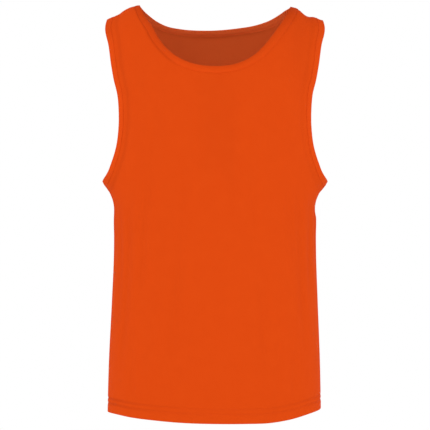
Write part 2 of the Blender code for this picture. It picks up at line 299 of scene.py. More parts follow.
# Lines of the garment as they look from straight in front or behind. SHOULDER stands for
# the height of the shoulder line there.
Point = namedtuple("Point", "across height")
SHOULDER = None
SHOULDER_LINE = (
    Point(0.000, 0.0150),
    Point(0.070, 0.0110),
    Point(0.130, 0.0000),
    Point(0.150, -0.0060),
    Point(0.163, -0.0140),
    Point(0.176, -0.0200),
    Point(0.190, -0.0270),
    Point(0.210, -0.0400),
)
ARMHOLE_EDGE = (
    Point(0.1880, UNDERARM_HEIGHT),
    Point(0.1785, -0.2810),
    Point(0.1705, -0.2630),
    Point(0.1630, -0.2400),
    Point(0.1584, -0.2090),
    Point(0.1578, -0.1800),
    Point(0.1603, -0.1520),
    Point(0.1662, -0.1290),
    Point(0.1710, -0.1040),
    Point(0.1762, -0.0700),
    Point(0.1830, -0.0380),
    Point(0.1810, SHOULDER),
)
NECKLINE = {
    FRONT: (
        Point(-0.1262, SHOULDER),
        Point(-0.1165, -0.0205),
        Point(-0.1040, -0.0390),
        Point(-0.0930, -0.0600),
        Point(-0.0795, -0.0775),
        Point(-0.0620, -0.0925),
        Point(-0.0375, -0.1040),
        Point(0.0000, -0.1087),
        Point(0.0400, -0.1030),
        Point(0.0655, -0.0885),
        Point(0.0865, -0.0660),
        Point(0.1010, -0.0460),
        Point(0.1165, -0.0220),
        Point(0.1262, SHOULDER),
    ),
    BACK: (
        Point(-0.1262, SHOULDER),
        Point(-0.1189, -0.0050),
        Point(-0.1135, -0.0090),
        Point(-0.1000, -0.0180),
        Point(-0.0820, -0.0255),
        Point(-0.0600, -0.0293),
        Point(-0.0150, -0.0314),
        Point(0.0400, -0.0278),
        Point(0.0690, -0.0236),
        Point(0.0945, -0.0160),
        Point(0.1107, -0.0078),
        Point(0.1185, -0.0034),
        Point(0.1262, SHOULDER),
    ),
}

# The hem's edge, by the angle from the centre of its face
HemPoint = namedtuple("HemPoint", "around height")
HEM_EDGE = {
    FRONT: (
        HemPoint(-90, -0.6785),
        HemPoint(-60, -0.6758),
        HemPoint(-48, -0.6770),
        HemPoint(-30, -0.6788),
        HemPoint(-15, -0.6808),
        HemPoint(0, -0.6820),
        HemPoint(15, -0.6825),
        HemPoint(27, -0.6826),
        HemPoint(37, -0.6805),
        HemPoint(60, -0.6737),
        HemPoint(90, -0.6722),
    ),
    BACK: (
        HemPoint(-90, -0.6785),
        HemPoint(-30, -0.6765),
        HemPoint(25, -0.6790),
        HemPoint(90, -0.6722),
    ),
}

# Folds as soft troughs (depth below 0) and ridges: "around" is the angle from the front's
# centre at the fold's middle, negative to the wearer's right, and "lean" is how far round it
# moves from its lower to its upper end.
Fold = namedtuple("Fold", "around low high lean spread depth")
FOLDS = (
    # the hollow down the chest, with a low ridge inside it
    Fold(1, -0.31, -0.06, 0, 8.5, -0.0027),
    Fold(-6, -0.34, -0.10, 1, 2.2, -0.0009),
    Fold(8, -0.38, -0.09, -1, 2.2, -0.0009),
    Fold(-3, -0.36, -0.11, 1, 1.4, -0.0003),
    Fold(5, -0.33, -0.12, -1, 1.3, -0.0004),
    Fold(1, -0.34, -0.12, 0, 1.8, 0.0004),
    Fold(-16, -0.52, -0.22, 3, 2.6, -0.0007),
    Fold(19, -0.48, -0.18, -2, 2.4, -0.0007),
    # from the underarms down the sides
    Fold(-56, -0.62, -0.30, 4, 4, -0.0026),
    Fold(-66, -0.55, -0.32, -3, 4, -0.0024),
    Fold(-41, -0.50, -0.27, 7, 3, -0.0014),
    Fold(-75, -0.47, -0.30, 3, 3, -0.0014),
    Fold(54, -0.60, -0.28, -4, 4, -0.0026),
    Fold(66, -0.50, -0.31, 3, 4, -0.0024),
    Fold(45, -0.46, -0.29, -8, 3, -0.0012),
    Fold(76, -0.45, -0.31, -2, 3, -0.0014),
    Fold(86, -0.355, -0.305, 0, 7, -0.0018),
    # over the belly and above the hem
    Fold(-31, -0.66, -0.45, 5, 6, 0.0012),
    Fold(-20, -0.60, -0.40, 3, 3, -0.0009),
    Fold(24, -0.64, -0.42, -4, 3, -0.0010),
    Fold(34, -0.67, -0.50, 3, 5, 0.0010),
    Fold(4, -0.66, -0.50, 2, 6, 0.0008),
    Fold(-48, -0.67, -0.52, -3, 3, -0.0009),
    Fold(45, -0.67, -0.55, 3, 3, -0.0009),
    # the left strap, slack in front of the shoulder, and the right one
    Fold(47, -0.17, 0.04, -6, 9, -0.0024),
    Fold(36, -0.22, -0.08, 8, 5, 0.0008),
    Fold(43, -0.12, 0.02, -3, 5, -0.0014),
    Fold(-41, -0.20, -0.03, -5, 6, -0.0008),
    # from the neck towards the underarms
    Fold(-30, -0.27, -0.12, 9, 4, -0.0008),
    Fold(29, -0.28, -0.13, -9, 4, -0.0008),
    # the back
    Fold(168, -0.47, -0.16, 3, 5, -0.0032),
    Fold(-170, -0.62, -0.34, -4, 5, -0.0032),
    Fold(150, -0.56, -0.30, -6, 4, -0.0016),
    Fold(-152, -0.44, -0.18, 5, 4, -0.0016),
    Fold(-178, -0.30, -0.10, 2, 3, -0.0011),
    Fold(160, -0.66, -0.46, -3, 3, -0.0010),
    Fold(-163, -0.30, -0.12, 3, 2.4, -0.0008),
    Fold(126, -0.62, -0.30, 5, 5, -0.0036),
    Fold(-124, -0.56, -0.28, -5, 5, -0.0036),
    Fold(112, -0.50, -0.30, -3, 3, -0.0018),
    Fold(-110, -0.47, -0.31, 3, 3, -0.0016),
    Fold(101, -0.44, -0.31, 3, 2.6, -0.0012),
    Fold(-99, -0.42, -0.31, -3, 2.6, -0.0012),
    Fold(138, -0.66, -0.48, 4, 6, 0.0012),
    Fold(-141, -0.66, -0.50, -3, 6, 0.0012),
)

# How the neck's binding lies along the neck: how much of its width shows, how deep its edge
# rolls in, and the painted shade on its outside and in the groove beside it.
NeckBand = namedtuple("NeckBand", "across cover roll band_shade groove_shade")
NECK_BAND = (
    NeckBand(-0.125, 0.72, 0.0060, 0.24, 0.24),
    NeckBand(-0.114, 0.91, 0.0060, 0.18, 0.19),
    NeckBand(-0.098, 0.90, 0.0056, 0.15, 0.15),
    NeckBand(-0.083, 0.90, 0.0050, 0.10, 0.17),
    NeckBand(-0.062, 0.95, 0.0036, 0.01, 0.04),
    NeckBand(0.000, 1.02, 0.0032, 0.02, 0.00),
    NeckBand(0.062, 1.04, 0.0032, 0.01, 0.00),
    NeckBand(0.083, 1.12, 0.0032, 0.02, 0.00),
    NeckBand(0.103, 1.16, 0.0034, 0.06, 0.00),
    NeckBand(0.125, 1.16, 0.0034, 0.15, 0.04),
)

# Painted shade, as shares of the painted shade colour, and where and how far each reaches
FOLD_SHADE = 0.065
DEEP_FOLD = 0.0036
MOST_FOLD_SHARE = 1.5
PULL_SHADE = 0.14
STRAP_END_SHADE = 0.17
STRAP_END_WIDTH = 0.0145
STRAP_END_HEIGHT = -0.0400
STRAP_END_REACH = 0.0240
ARMHOLE_SHADE_ON_LEFT = 0.4
HEM_ROW_SHADE = 0.24
NECK_EDGE_SHADE = 0.17
NECK_EDGE_REACH = 0.0060
NECK_INSIDE_SHADE = 0.40
NECK_INSIDE_AT = 0.0106
NECK_INSIDE_REACH = 0.0045
NECK_INSIDE_SPREAD = 0.095
UNDERARM_SHADE = 0.14
UNDERARM_REACH = 0.0200
STRAP_SHADE = 0.20
STRAP_SHADE_REACH = 0.0260
STRAP_BROAD_SHADE = 0.075
STRAP_BROAD_SHADE_REACH = 0.0850
STRAP_FROM_MIDDLE = 0.0600
SIDE_SHADE = 0.15
SIDE_SHADE_AT = -0.3700
SIDE_SHADE_HEIGHT = 0.0500
SIDE_SHADE_REACH = 0.0300
SEAM_SHADE = 0.16

# Slow waves that stitched edges take: their lengths across and up, and where each starts
Wave = namedtuple("Wave", "across up start")
PUCKER_WAVES = (Wave(0.0071, 0.0093, 0.3), Wave(-0.0113, 0.0151, 1.7), Wave(0.0198, -0.0127, 4.1))


def smooth_curve(at, knots, values):
    """Read at these places, the smooth curve that passes through the values at the knots."""
    at = np.asarray(at, float)
    knots = np.asarray(knots, float)
    values = np.asarray(values, float)
    slopes = np.gradient(values, knots)
    low = np.clip(np.searchsorted(knots, at) - 1, 0, len(knots) - 2)
    span = knots[low + 1] - knots[low]
    along = np.clip((at - knots[low]) / span, 0, 1)
    rest = 1 - along
    start = rest * rest * (1 + 2 * along) * values[low]
    end = along * along * (1 + 2 * rest) * values[low + 1]
    lift = along * rest * rest * span * slopes[low]
    fall = along * along * rest * span * slopes[low + 1]
    return start + end + lift - fall


def column(table, name):
    return [getattr(row, name) for row in table]


def section_value(name, up):
    return smooth_curve(up, column(SECTIONS, "up"), column(SECTIONS, name))


def bell(distance, spread):
    """1 at no distance, fading softly to 0 over about twice the spread."""
    return np.exp(-((distance / spread) ** 2))


def signed_power(value, power):
    return np.sign(value) * np.abs(value) ** power


def unit(vectors):
    return vectors / np.linalg.norm(vectors, axis=-1, keepdims=True)


def shoulder_height(across):
    """The height of the shoulder line, with the straps' sags, at places across."""
    line = smooth_curve(
        np.abs(across), column(SHOULDER_LINE, "across"), column(SHOULDER_LINE, "height")
    )
    return line - sum(sag.depth * bell(across - sag.across, sag.reach) for sag in STRAP_SAGS)


def reach_across(around, up):
    """How far a place lies from the middle plane, with the flare at the underarm."""
    sine = np.sin(around)
    flare_reach = np.where(up > FLARE_HEIGHT, FLARE_REACH_ABOVE, FLARE_REACH_BELOW)
    flare = UNDERARM_FLARE * bell(up - FLARE_HEIGHT, flare_reach)
    half = section_value("half_width", up) * signed_power(sine, 2 / SQUARENESS)
    return half + flare * signed_power(sine, FLARE_NARROWNESS) + section_value("sway", up)


def bare_form(face, around, up):
    """The form without its folds, as points on its outside."""
    across = reach_across(around, up)
    depth = section_value(face.depth, up) * signed_power(np.cos(around), 2 / SQUARENESS)
    rise = shoulder_height(across) - face.shoulder_start
    turn = np.maximum(up - face.shoulder_start, 0) / rise
    height = np.minimum(up, face.shoulder_start) + rise * np.sin(turn)
    forward = depth * signed_power(np.cos(turn), SHOULDER_FULLNESS)
    return np.stack([across, face.toward * forward, height], axis=-1)


def normals_of(surface, face, around, up):
    """Outward unit normals of a surface, from its slopes both ways."""
    sideways = surface(face, around + STEP, up) - surface(face, around - STEP, up)
    upwards = surface(face, around, up + STEP) - surface(face, around, up - STEP)
    return unit(-face.toward * np.cross(sideways, upwards))


def fold_depth(face, around, up):
    """How far the folds move the cloth out of the bare form."""
    from_front = around if face is FRONT else math.pi - around
    total = np.zeros(np.shape(around))
    for fold in FOLDS:
        middle = (fold.low + fold.high) / 2
        half_length = (fold.high - fold.low) / 2
        along = (up - middle) / half_length
        apart = from_front - np.radians(fold.around + fold.lean * along / 2)
        apart = (apart + math.pi) % (2 * math.pi) - math.pi
        fade = np.clip(1 - along**4, 0, 1) ** 2
        total = total + fold.depth * fade * bell(apart, math.radians(fold.spread))
    return total


def cloth(face, around, up):
    """Points on the outside of the cloth."""
    out = normals_of(bare_form, face, around, up)
    return bare_form(face, around, up) + out * fold_depth(face, around, up)[..., None]


def points_and_normals(face, around, up):
    """Points on the outside of the cloth, and the way out of it there."""
    return cloth(face, around, up), normals_of(cloth, face, around, up)


def ridge(face, across):
    """The place up the cloth where it crosses the top of the shoulder."""
    rise = shoulder_height(across) - face.shoulder_start
    return face.shoulder_start + rise * math.pi / 2


def place_seen(face, across, height):
    """Cloth coordinates of places given by how they look from in front."""
    rise = shoulder_height(across) - face.shoulder_start
    turn = np.arcsin(np.clip((height - face.shoulder_start) / rise, 0, 1))
    up = np.minimum(height, face.shoulder_start) + rise * turn
    low = np.full(np.shape(across), -SIDE_SEAM)
    high = np.full(np.shape(across), SIDE_SEAM)
    for _ in range(HALVINGS):
        middle = (low + high) / 2
        short = reach_across(middle, up) < across
        low = np.where(short, middle, low)
        high = np.where(short, high, middle)
    return (low + high) / 2, up


def points_of(table, side=1):
    """The table's points as rows of numbers, on one side, with SHOULDER worked out."""
    rows = []
    for across, height in table:
        across *= side
        rows.append((across, shoulder_height(across) if height is SHOULDER else height))
    return np.array(rows)


def pinned(face, around, up, at_side_seam, at_ridge):
    """The same line with the named ends put back on the side seam or the shoulder's ridge."""
    around, up = around.copy(), up.copy()
    for end in at_side_seam:
        around[end] = math.copysign(SIDE_SEAM, around[end])
    for end in at_ridge:
        up[end] = ridge(face, reach_across(around[end], up[end]))
    return around, up


def moved_in(face, line, width, inward, ends, cover=1.0):
    """A line moved over the cloth, square to itself, by a width to its inward side.

    "cover" is the share of the width that counts at each of the line's points.
    """
    around, up = line
    strides = math.ceil(width / INSET_STRIDE)
    for _ in range(strides):
        along = np.gradient(cloth(face, around, up), axis=0)
        across = inward * np.cross(normals_of(cloth, face, around, up), along)
        across *= cover * width / strides / np.linalg.norm(across, axis=-1, keepdims=True)
        turn = (cloth(face, around + STEP, up) - cloth(face, around - STEP, up)) / STEP / 2
        rise = (cloth(face, around, up + STEP) - cloth(face, around, up - STEP)) / STEP / 2
        turn_turn, rise_rise = (turn * turn).sum(-1), (rise * rise).sum(-1)
        turn_rise = (turn * rise).sum(-1)
        on_turn, on_rise = (turn * across).sum(-1), (rise * across).sum(-1)
        spread = turn_turn * rise_rise - turn_rise**2
        around = around + (on_turn * rise_rise - on_rise * turn_rise) / spread
        up = up + (on_rise * turn_turn - on_turn * turn_rise) / spread
        around, up = pinned(face, around, up, *ends)
    return around, up


def bunched(count):
    """Shares from 0 to 1 that lie closer together at both ends."""
    return (1 - np.cos(np.linspace(0, math.pi, count))) / 2


def lengths_along(points):
    """The distance travelled to each point of a line."""
    steps = np.linalg.norm(np.diff(points, axis=0), axis=1)
    return np.concatenate([[0], np.cumsum(steps)])


def stationed_lines(face, edge, widths, inward, ends, stations, cover=1.0):
    """A free edge's copies further in, by growing widths, each read at the same shares."""
    travelled = lengths_along(cloth(face, *edge))
    lines = []
    line, reached = edge, 0.0
    for width in widths:
        line = moved_in(face, line, width - reached, inward, ends, cover)
        reached = width
        lines.append([np.interp(stations * travelled[-1], travelled, row) for row in line])
    return lines


def armhole_lines(face, side, widths, count):
    """Lines round half an armhole from the underarm to the shoulder, at each width in."""
    ends = ([0], [-1])
    points = points_of(ARMHOLE_EDGE, side)
    height = points[0, 1] + (points[-1, 1] - points[0, 1]) * bunched(FINE_STATIONS)
    across = smooth_curve(height, points[:, 1], points[:, 0])
    edge = pinned(face, *place_seen(face, across, height), *ends)
    even = np.linspace(0, 1, count + 1)
    stations = even + STATION_BUNCHING * (bunched(count + 1) - even)
    return stationed_lines(face, edge, widths, -side * face.toward, ends, stations)


def neck_lines(face, widths, count):
    """Lines round half the neck from the wearer's right to the left, at each width in."""
    ends = ([], [0, -1])
    points = points_of(NECKLINE[face])
    knots = lengths_along(points)
    places = knots[-1] * bunched(FINE_STATIONS)
    across = smooth_curve(places, knots, points[:, 0])
    height = smooth_curve(places, knots, points[:, 1])
    edge = pinned(face, *place_seen(face, across, height), *ends)
    stations = np.linspace(0, 1, count + 1)
    cover = neck_band("cover", cloth(face, *edge))[:, None]
    return stationed_lines(face, edge, widths, face.toward, ends, stations, cover)


def hem_up(face, around):
    """How far up the cloth the hem's edge lies."""
    edge = HEM_EDGE[face]
    return smooth_curve(np.degrees(around), column(edge, "around"), column(edge, "height"))


def top_of_panel(face, right_end, left_end, neck):
    """The panel's top from right to left: a shoulder seam, the neckline, a shoulder seam."""
    strap = np.linspace(0, 1, STRAP_COLUMNS + 1)[:-1]
    right = right_end + (neck[0][0] - right_end) * strap
    left = left_end + (neck[0][-1] - left_end) * strap
    around = np.concatenate([right, neck[0], left[::-1]])
    flat = np.zeros(STRAP_COLUMNS)
    up = np.concatenate([flat, neck[1], flat])
    seams = [*range(STRAP_COLUMNS + 1), *range(-STRAP_COLUMNS - 1, 0)]
    for _ in range(RIDGE_TRIES):
        around, up = pinned(face, around, up, [], seams)
    return around, up


def chest_rows(face, right, left, neck):
    """Rows of the chest and straps, level with the armholes' stations."""
    corner = ARMHOLE_BOTTOM_STATIONS
    share = np.linspace(0, 1, 2 * STRAP_COLUMNS + NECK_STATIONS + 1)

    def between(at_right, at_left):
        return at_right + (at_left - at_right) * share

    top_around, top_up = top_of_panel(face, right[0][-1], left[0][-1], neck)
    top_share = (top_around - top_around[0]) / (top_around[-1] - top_around[0])
    bottom_up = between(right[1][corner], left[1][corner])
    rows = []
    for station in range(corner, ARMHOLE_STATIONS + 1):
        risen = between(
            (right[1][station] - right[1][corner]) / (right[1][-1] - right[1][corner]),
            (left[1][station] - left[1][corner]) / (left[1][-1] - left[1][corner]),
        )
        mixed = share + (top_share - share) * risen
        around = right[0][station] + mixed * (left[0][station] - right[0][station])
        rows.append((around, bottom_up + (top_up - bottom_up) * risen))
    return rows


def body_rows(face, right, left, first_chest_row):
    """Rows of the body: up the turned-in hem, round its bend, and up the outside.

    Each row comes with its turn: pi on the layer inside, 0 on the outside.
    """
    corner = ARMHOLE_BOTTOM_STATIONS
    rim_around, rim_up = (
        np.concatenate([right[axis][:corner], first_chest_row[axis], left[axis][corner - 1 :: -1]])
        for axis in (0, 1)
    )
    hem_around = np.linspace(-SIDE_SEAM, SIDE_SEAM, len(rim_around))
    hem = hem_up(face, hem_around)
    bend_rise = HEM_BEND + CLOTH / 2
    turned_rises = np.arange(HEM_TURN, bend_rise, -HEM_ROW_SPACING)
    stitched_rises = np.arange(bend_rise + HEM_ROW_SPACING, HEM_STITCHED_HEIGHT, HEM_ROW_SPACING)
    rows = [(hem_around, hem + rise, math.pi) for rise in turned_rises]
    for turn in np.linspace(math.pi, 0, HEM_BEND_STEPS):
        rows.append((hem_around, hem + bend_rise, turn))
    above = hem + HEM_STITCHED_HEIGHT
    ups = [hem + rise for rise in stitched_rises]
    ups += [above + (rim_up - above) * part for part in np.linspace(0, 1, LOWER_ROWS + 1)]
    for up in ups:
        climbed = (up - hem) / (rim_up - hem)
        rows.append((hem_around + (rim_around - hem_around) * climbed, up, 0.0))
    return rows


def pucker(points):
    """A small uneven wave, from about -1 to 1, at places along a stitched edge."""
    total = 0
    for wave in PUCKER_WAVES:
        turns = points[..., 0] / wave.across + points[..., 2] / wave.up
        total = total + np.sin(math.tau * turns + wave.start)
    return total / len(PUCKER_WAVES)


def neck_band(name, points):
    """One of the values in NECK_BAND, at places along the neck."""
    return smooth_curve(points[..., 0], column(NECK_BAND, "across"), column(NECK_BAND, name))


def neck_roll(width, points, normals):
    """How far the neck's edge rolls in, least of all over the shoulders and at the back."""
    to_edge = np.clip(1 - width / ROLL_REACH, 0, 1)
    share = np.where(points[..., 1] > 0, ROLL_AT_BACK, 1) * (1 - normals[..., 2] ** 2)
    return neck_band("roll", points) * share * to_edge**2


def binding_dip(width, points, groove):
    """The groove beside a binding and the waves along its stitches."""
    waves = PUCKER * bell(width - BINDING_ROW, PUCKER_REACH) * pucker(points)
    return groove * bell(width - GROOVE_AT, GROOVE_REACH) + waves


def neck_dip(width, points, normals):
    """How far the cloth is drawn in, at a width from the neck's edge."""
    return binding_dip(width, points, GROOVE) + neck_roll(width, points, normals)


def armhole_dip(width, points, _):
    """How far the cloth is drawn in, at a width from an armhole's edge, which doesn't roll."""
    pull = PULL * bell(width - PULL_AT, PULL_REACH)
    return binding_dip(width, points, ARMHOLE_GROOVE) + pull


def neck_shade(width, points, outside):
    """The painted shade at a width from the neck's edge, outside and inside."""
    groove = neck_band("groove_shade", points) * bell(width - GROOVE_AT, GROOVE_REACH)
    edge = NECK_EDGE_SHADE * bell(width, NECK_EDGE_REACH)
    band = neck_band("band_shade", points) * (width < GROOVE_AT)
    inside = NECK_INSIDE_SHADE * bell(width - NECK_INSIDE_AT, NECK_INSIDE_REACH)
    inside *= bell(points[..., 0], NECK_INSIDE_SPREAD)
    return np.where(outside, groove + edge + band, inside)


def armhole_shade(width, points, outside):
    """The painted shade at a width from an armhole's edge, outside and inside."""
    across, height = points[..., 0], points[..., 2]
    pull = PULL_SHADE * bell(width - PULL_AT, PULL_REACH)
    strap_end = STRAP_END_SHADE * bell(height - STRAP_END_HEIGHT, STRAP_END_REACH)
    strap_end *= bell((width / STRAP_END_WIDTH) ** 2, 1)
    side = np.where(across > 0, ARMHOLE_SHADE_ON_LEFT, 1)
    underarm = UNDERARM_SHADE * bell(width, UNDERARM_REACH)
    underarm *= bell(height - UNDERARM_HEIGHT, UNDERARM_REACH)
    return np.where(outside, side * (pull + strap_end) + underarm, 0)


def strap_shade(points, outside):
    """The painted shade over the left strap, where it leans back from the light, most of all at the top of the
    shoulder.
    """
    across, height = points[..., 0], points[..., 2]
    top = STRAP_SHADE * bell(height, STRAP_SHADE_REACH)
    broad_shade = STRAP_BROAD_SHADE * bell(height, STRAP_BROAD_SHADE_REACH)
    return (top + broad_shade) * np.clip(across / STRAP_FROM_MIDDLE, 0, 1) * outside


def side_shade(points):
    """The painted shade beside the side seams, below the underarms."""
    below_underarm = bell(points[..., 2] - SIDE_SHADE_AT, SIDE_SHADE_HEIGHT)
    return SIDE_SHADE * bell(points[..., 1], SIDE_SHADE_REACH) * below_underarm


def hem_strength(around):
    """How strongly the hem's rows draw in the cloth, and how much painted shade lies along them, most of all towards
    the sides.
    """
    sine = np.sin(around)
    return HEM_MIDDLE_SHARE + (1 - HEM_MIDDLE_SHARE) * sine**2 * (1 - HEM_LEAN * sine)


def hem_dip(around, rise, points):
    """How far the cloth is drawn in, at a height above the hem's edge."""
    total = 0
    for row in HEM_ROWS:
        total = total + HEM_DIP * hem_strength(around) * bell(rise - row, HEM_DIP_REACH)
        total = total + PUCKER * bell(rise - row, PUCKER_REACH) * pucker(points)
    return total


def seam_dip(width, points):
    """How far the cloth is drawn in beside a seam between panels, past the bindings."""
    past = np.clip((width - SEAM_DIP_STARTS) / (SEAM_DIP_FULL - SEAM_DIP_STARTS), 0, 1)
    return past * SEAM_DIP * bell(points[..., 1], SEAM_DIP_REACH)


def distance_to(line, points):
    """How far each point is from a line of points."""
    tree = KDTree(len(line))
    for number, spot in enumerate(line):
        tree.insert(spot, number)
    tree.balance()
    return np.array([tree.find(point)[2] for point in points])


def surface_lengths(face, around, up, from_up):
    """The cut's own measures at each place: across from the centre line, and up from a level."""
    across = np.zeros(len(around))
    rise = np.zeros(len(around))
    last_across = bare_form(face, around * 0, up)
    last_rise = bare_form(face, around, from_up)
    for step in range(1, LENGTH_STEPS + 1):
        share = step / LENGTH_STEPS
        spot = bare_form(face, around * share, up)
        across += np.linalg.norm(spot - last_across, axis=1)
        last_across = spot
        spot = bare_form(face, around, from_up + (up - from_up) * share)
        rise += np.linalg.norm(spot - last_rise, axis=1)
        last_rise = spot
    return np.sign(around) * across, rise


def quads_of(numbers):
    """The four-cornered cells of a grid of point numbers."""
    corners = (numbers[:-1, :-1], numbers[:-1, 1:], numbers[1:, 1:], numbers[1:, :-1])
    return np.stack(corners, axis=-1).reshape(-1, 4)


def rim_of(cells):
    """The outer edges of some cells, each from start to end."""
    sides = np.concatenate([cells[:, [corner, (corner + 1) % 4]] for corner in range(4)])
    present = {(start, end) for start, end in sides.tolist()}
    return np.array([side for side in sides.tolist() if (side[1], side[0]) not in present])


def encloses(points, cells):
    """Whether the cells face outwards round the space that they close."""
    first, second, third, last = (points[cells[:, corner]] for corner in range(4))
    facing = np.cross(second - first, third - first) + np.cross(third - first, last - first)
    return (facing * first).sum() > 0


def strip_cut(across, along):
    """Where a strip's grid of points lies on its flat cut, from two lines of measures."""
    return np.stack(np.broadcast_arrays(across, along), axis=-1).reshape(-1, 2)


def cloth_piece(name, right_side, wrong_side, grids, cut, shades, material):
    """A closed wall of cloth between its right and its wrong side.

    The grids hold point numbers, "cut" holds where every point lies on the flat cut, in
    metres, and "shades" holds named values for the material at every point of the right
    side and then of the wrong side.
    """
    cells = np.concatenate([quads_of(grid) for grid in grids])
    count = len(right_side)
    rim = rim_of(cells)
    rim_cells = np.stack([rim[:, 1], rim[:, 0], rim[:, 0] + count, rim[:, 1] + count], axis=1)
    points = np.concatenate([right_side, wrong_side]) * FIT
    faces = np.concatenate([cells, cells[:, ::-1] + count, rim_cells])
    if not encloses(points, faces):
        faces = faces[:, ::-1]

    mesh = bpy.data.meshes.new(name)
    mesh.from_pydata(points.tolist(), [], faces.tolist())
    mesh.uv_layers.new(name="cut").data.foreach_set("uv", cut[faces.ravel() % count].ravel())
    for shade, values in shades.items():
        mesh.attributes.new(shade, "FLOAT", "POINT").data.foreach_set("value", values)
    mesh.shade_smooth()
    mesh.set_sharp_from_angle(angle=SHARP_ANGLE)
    mesh.materials.append(material)
    return placed(mesh)


def placed(mesh):
    piece = bpy.data.objects.new(mesh.name, mesh)
    bpy.context.scene.collection.objects.link(piece)
    return piece


def row_press(distances):
    """How far a row of stitches presses the cloth in, at these distances from it."""
    return STITCH_PRESS * bell(distances, STITCH_PRESS_REACH)


def panel_rows(face):
    """The rows that a panel's body and its chest are laid out in; the two share a row."""
    cover = [BINDING_WIDTH - BINDING_COVER]
    (right,) = armhole_lines(face, -1, cover, ARMHOLE_STATIONS)
    (left,) = armhole_lines(face, 1, cover, ARMHOLE_STATIONS)
    (neck,) = neck_lines(face, cover, NECK_STATIONS)
    chest = chest_rows(face, right, left, neck)
    return body_rows(face, right, left, chest[0]), chest


def panel_grids(body, chest):
    """The point numbers of the body's rows, and those of the chest's."""
    wide, narrow = len(body[0][0]), len(chest[0][0])
    body_grid = np.arange(wide * len(body)).reshape(len(body), wide)
    chest_grid = wide * len(body) + np.arange(narrow * (len(chest) - 1)).reshape(-1, narrow)
    corner = ARMHOLE_BOTTOM_STATIONS
    return body_grid, np.vstack([body_grid[-1:, corner : corner + narrow], chest_grid])


def edge_widths(face, surface):
    """How far places on a panel lie from its nearer armhole's edge, and from its neck's."""
    edges = (
        armhole_lines(face, -1, [0], FINE_STATIONS)[0],
        armhole_lines(face, 1, [0], FINE_STATIONS)[0],
        neck_lines(face, [0], FINE_STATIONS)[0],
    )
    right, left, neck = (distance_to(cloth(face, *edge), surface) for edge in edges)
    return np.minimum(right, left), neck / neck_band("cover", surface)


def panel_shade(face, around, up, rise):
    """The painted shade on a panel in its folds and along its hem's rows of stitches."""
    rows = sum(bell(rise - row, HEM_DIP_REACH) for row in HEM_ROWS)
    sunk = -fold_depth(face, around, up) / DEEP_FOLD
    folds = FOLD_SHADE * np.clip(sunk, 0, MOST_FOLD_SHARE)
    return HEM_ROW_SHADE * hem_strength(around) * rows + folds


def panel(face, name, material):
    """The front or back panel, one cloth from its turned-up hem to its straps."""
    body, chest = panel_rows(face)
    rows = body + [(around, up, 0.0) for around, up in chest[1:]]
    around = np.concatenate([row[0] for row in rows])
    up = np.concatenate([row[1] for row in rows])
    turn = np.concatenate([np.full(len(row[0]), row[2]) for row in rows])

    across, rise = surface_lengths(face, around, up, hem_up(face, around))
    surface, out = points_and_normals(face, around, up)
    down = unit(cloth(face, around, up - STEP) - cloth(face, around, up + STEP))
    facing = np.cos(turn)[:, None] * out + np.sin(turn)[:, None] * down

    armhole_width, neck_width = edge_widths(face, surface)
    dip = hem_dip(around, rise, surface) + armhole_dip(armhole_width, surface, out)
    seam = seam_dip(np.minimum(armhole_width, neck_width), surface)
    dip += neck_dip(neck_width, surface, out) + seam
    press = sum(row_press(rise - row) for row in HEM_ROWS)
    middle = surface - out * (CLOTH / 2 + HEM_BEND + dip)[:, None] + facing * HEM_BEND
    right_side = middle + facing * (CLOTH / 2 - press)[:, None]
    wrong_side = middle - facing * CLOTH / 2
    # neither panel passes the side seams' plane, where the two meet
    for sheet in (right_side, wrong_side):
        sheet[:, 1] = face.toward * np.maximum(face.toward * sheet[:, 1], 0)

    # painted shade in folds, along the hem's rows and the seams, and outside by openings and strap
    both_sides = panel_shade(face, around, up, rise) + side_shade(surface)
    both_sides += SEAM_SHADE * seam / SEAM_DIP
    shade = [
        both_sides
        + armhole_shade(armhole_width, surface, outside)
        + neck_shade(neck_width, surface, outside)
        + strap_shade(surface, outside)
        for outside in (True, False)
    ]
    shades = {"shade": np.concatenate(shade), "inside": np.repeat([0.0, 1.0], len(around))}
    cut = np.stack([across, np.where(turn > math.pi / 2, -rise, rise)], axis=-1)
    grids = panel_grids(body, chest)
    return cloth_piece(name, right_side, wrong_side, grids, cut, shades, material)


def binding_section():
    """Places across a binding, from its outer edge over the fold to its inner edge.

    Each is its width in from the fold, its turn and its share of the full thickness, which
    tapers at the cut edge.
    """
    bend = BINDING_BEND + BINDING_CLOTH / 2
    to_row = np.linspace(bend, BINDING_ROW - STITCH_PRESS_REACH, BINDING_STEPS_TO_ROW)
    past_row = np.linspace(
        BINDING_ROW - STITCH_PRESS_REACH / 2,
        BINDING_WIDTH - BINDING_EDGE_ROUNDING,
        BINDING_STEPS_PAST_ROW,
    )
    cut_edge = BINDING_WIDTH + np.array([0, BINDING_EDGE_ROUNDING])
    widths = [*to_row, *past_row, *cut_edge]
    shares = [1.0] * (len(to_row) + len(past_row)) + list(BINDING_EDGE_SHARES)
    turns = np.linspace(0, math.pi, BINDING_BEND_STEPS)[1:-1]
    outer = [(width, 0.0, share) for width, share in zip(widths, shares)]
    fold = [(bend, turn, 1.0) for turn in turns]
    return outer[::-1] + fold + [(width, math.pi, share) for width, _, share in outer]


def rings_on(lines_of, widths, count):
    """For each width in from an opening's free edge, a whole ring's points and normals."""
    front = lines_of(FRONT, widths, count)
    back = lines_of(BACK, widths, count)
    rings = {}
    for width, front_line, back_line in zip(widths, front, back):
        halves = []
        for face, line, part in (
            (FRONT, front_line, slice(None)),
            (BACK, back_line, slice(-2, 0, -1)),
        ):
            halves.append(points_and_normals(face, line[0][part], line[1][part]))
        rings[width] = [np.concatenate(both) for both in zip(*halves)]
    return rings


Opening = namedtuple("Opening", "lines dip shade")


def armhole(side):
    """The armhole on a side: 1 is the wearer's left and -1 the right."""

    def lines(face, widths, count):
        return armhole_lines(face, side, widths, count)

    return Opening(lines, armhole_dip, armhole_shade)


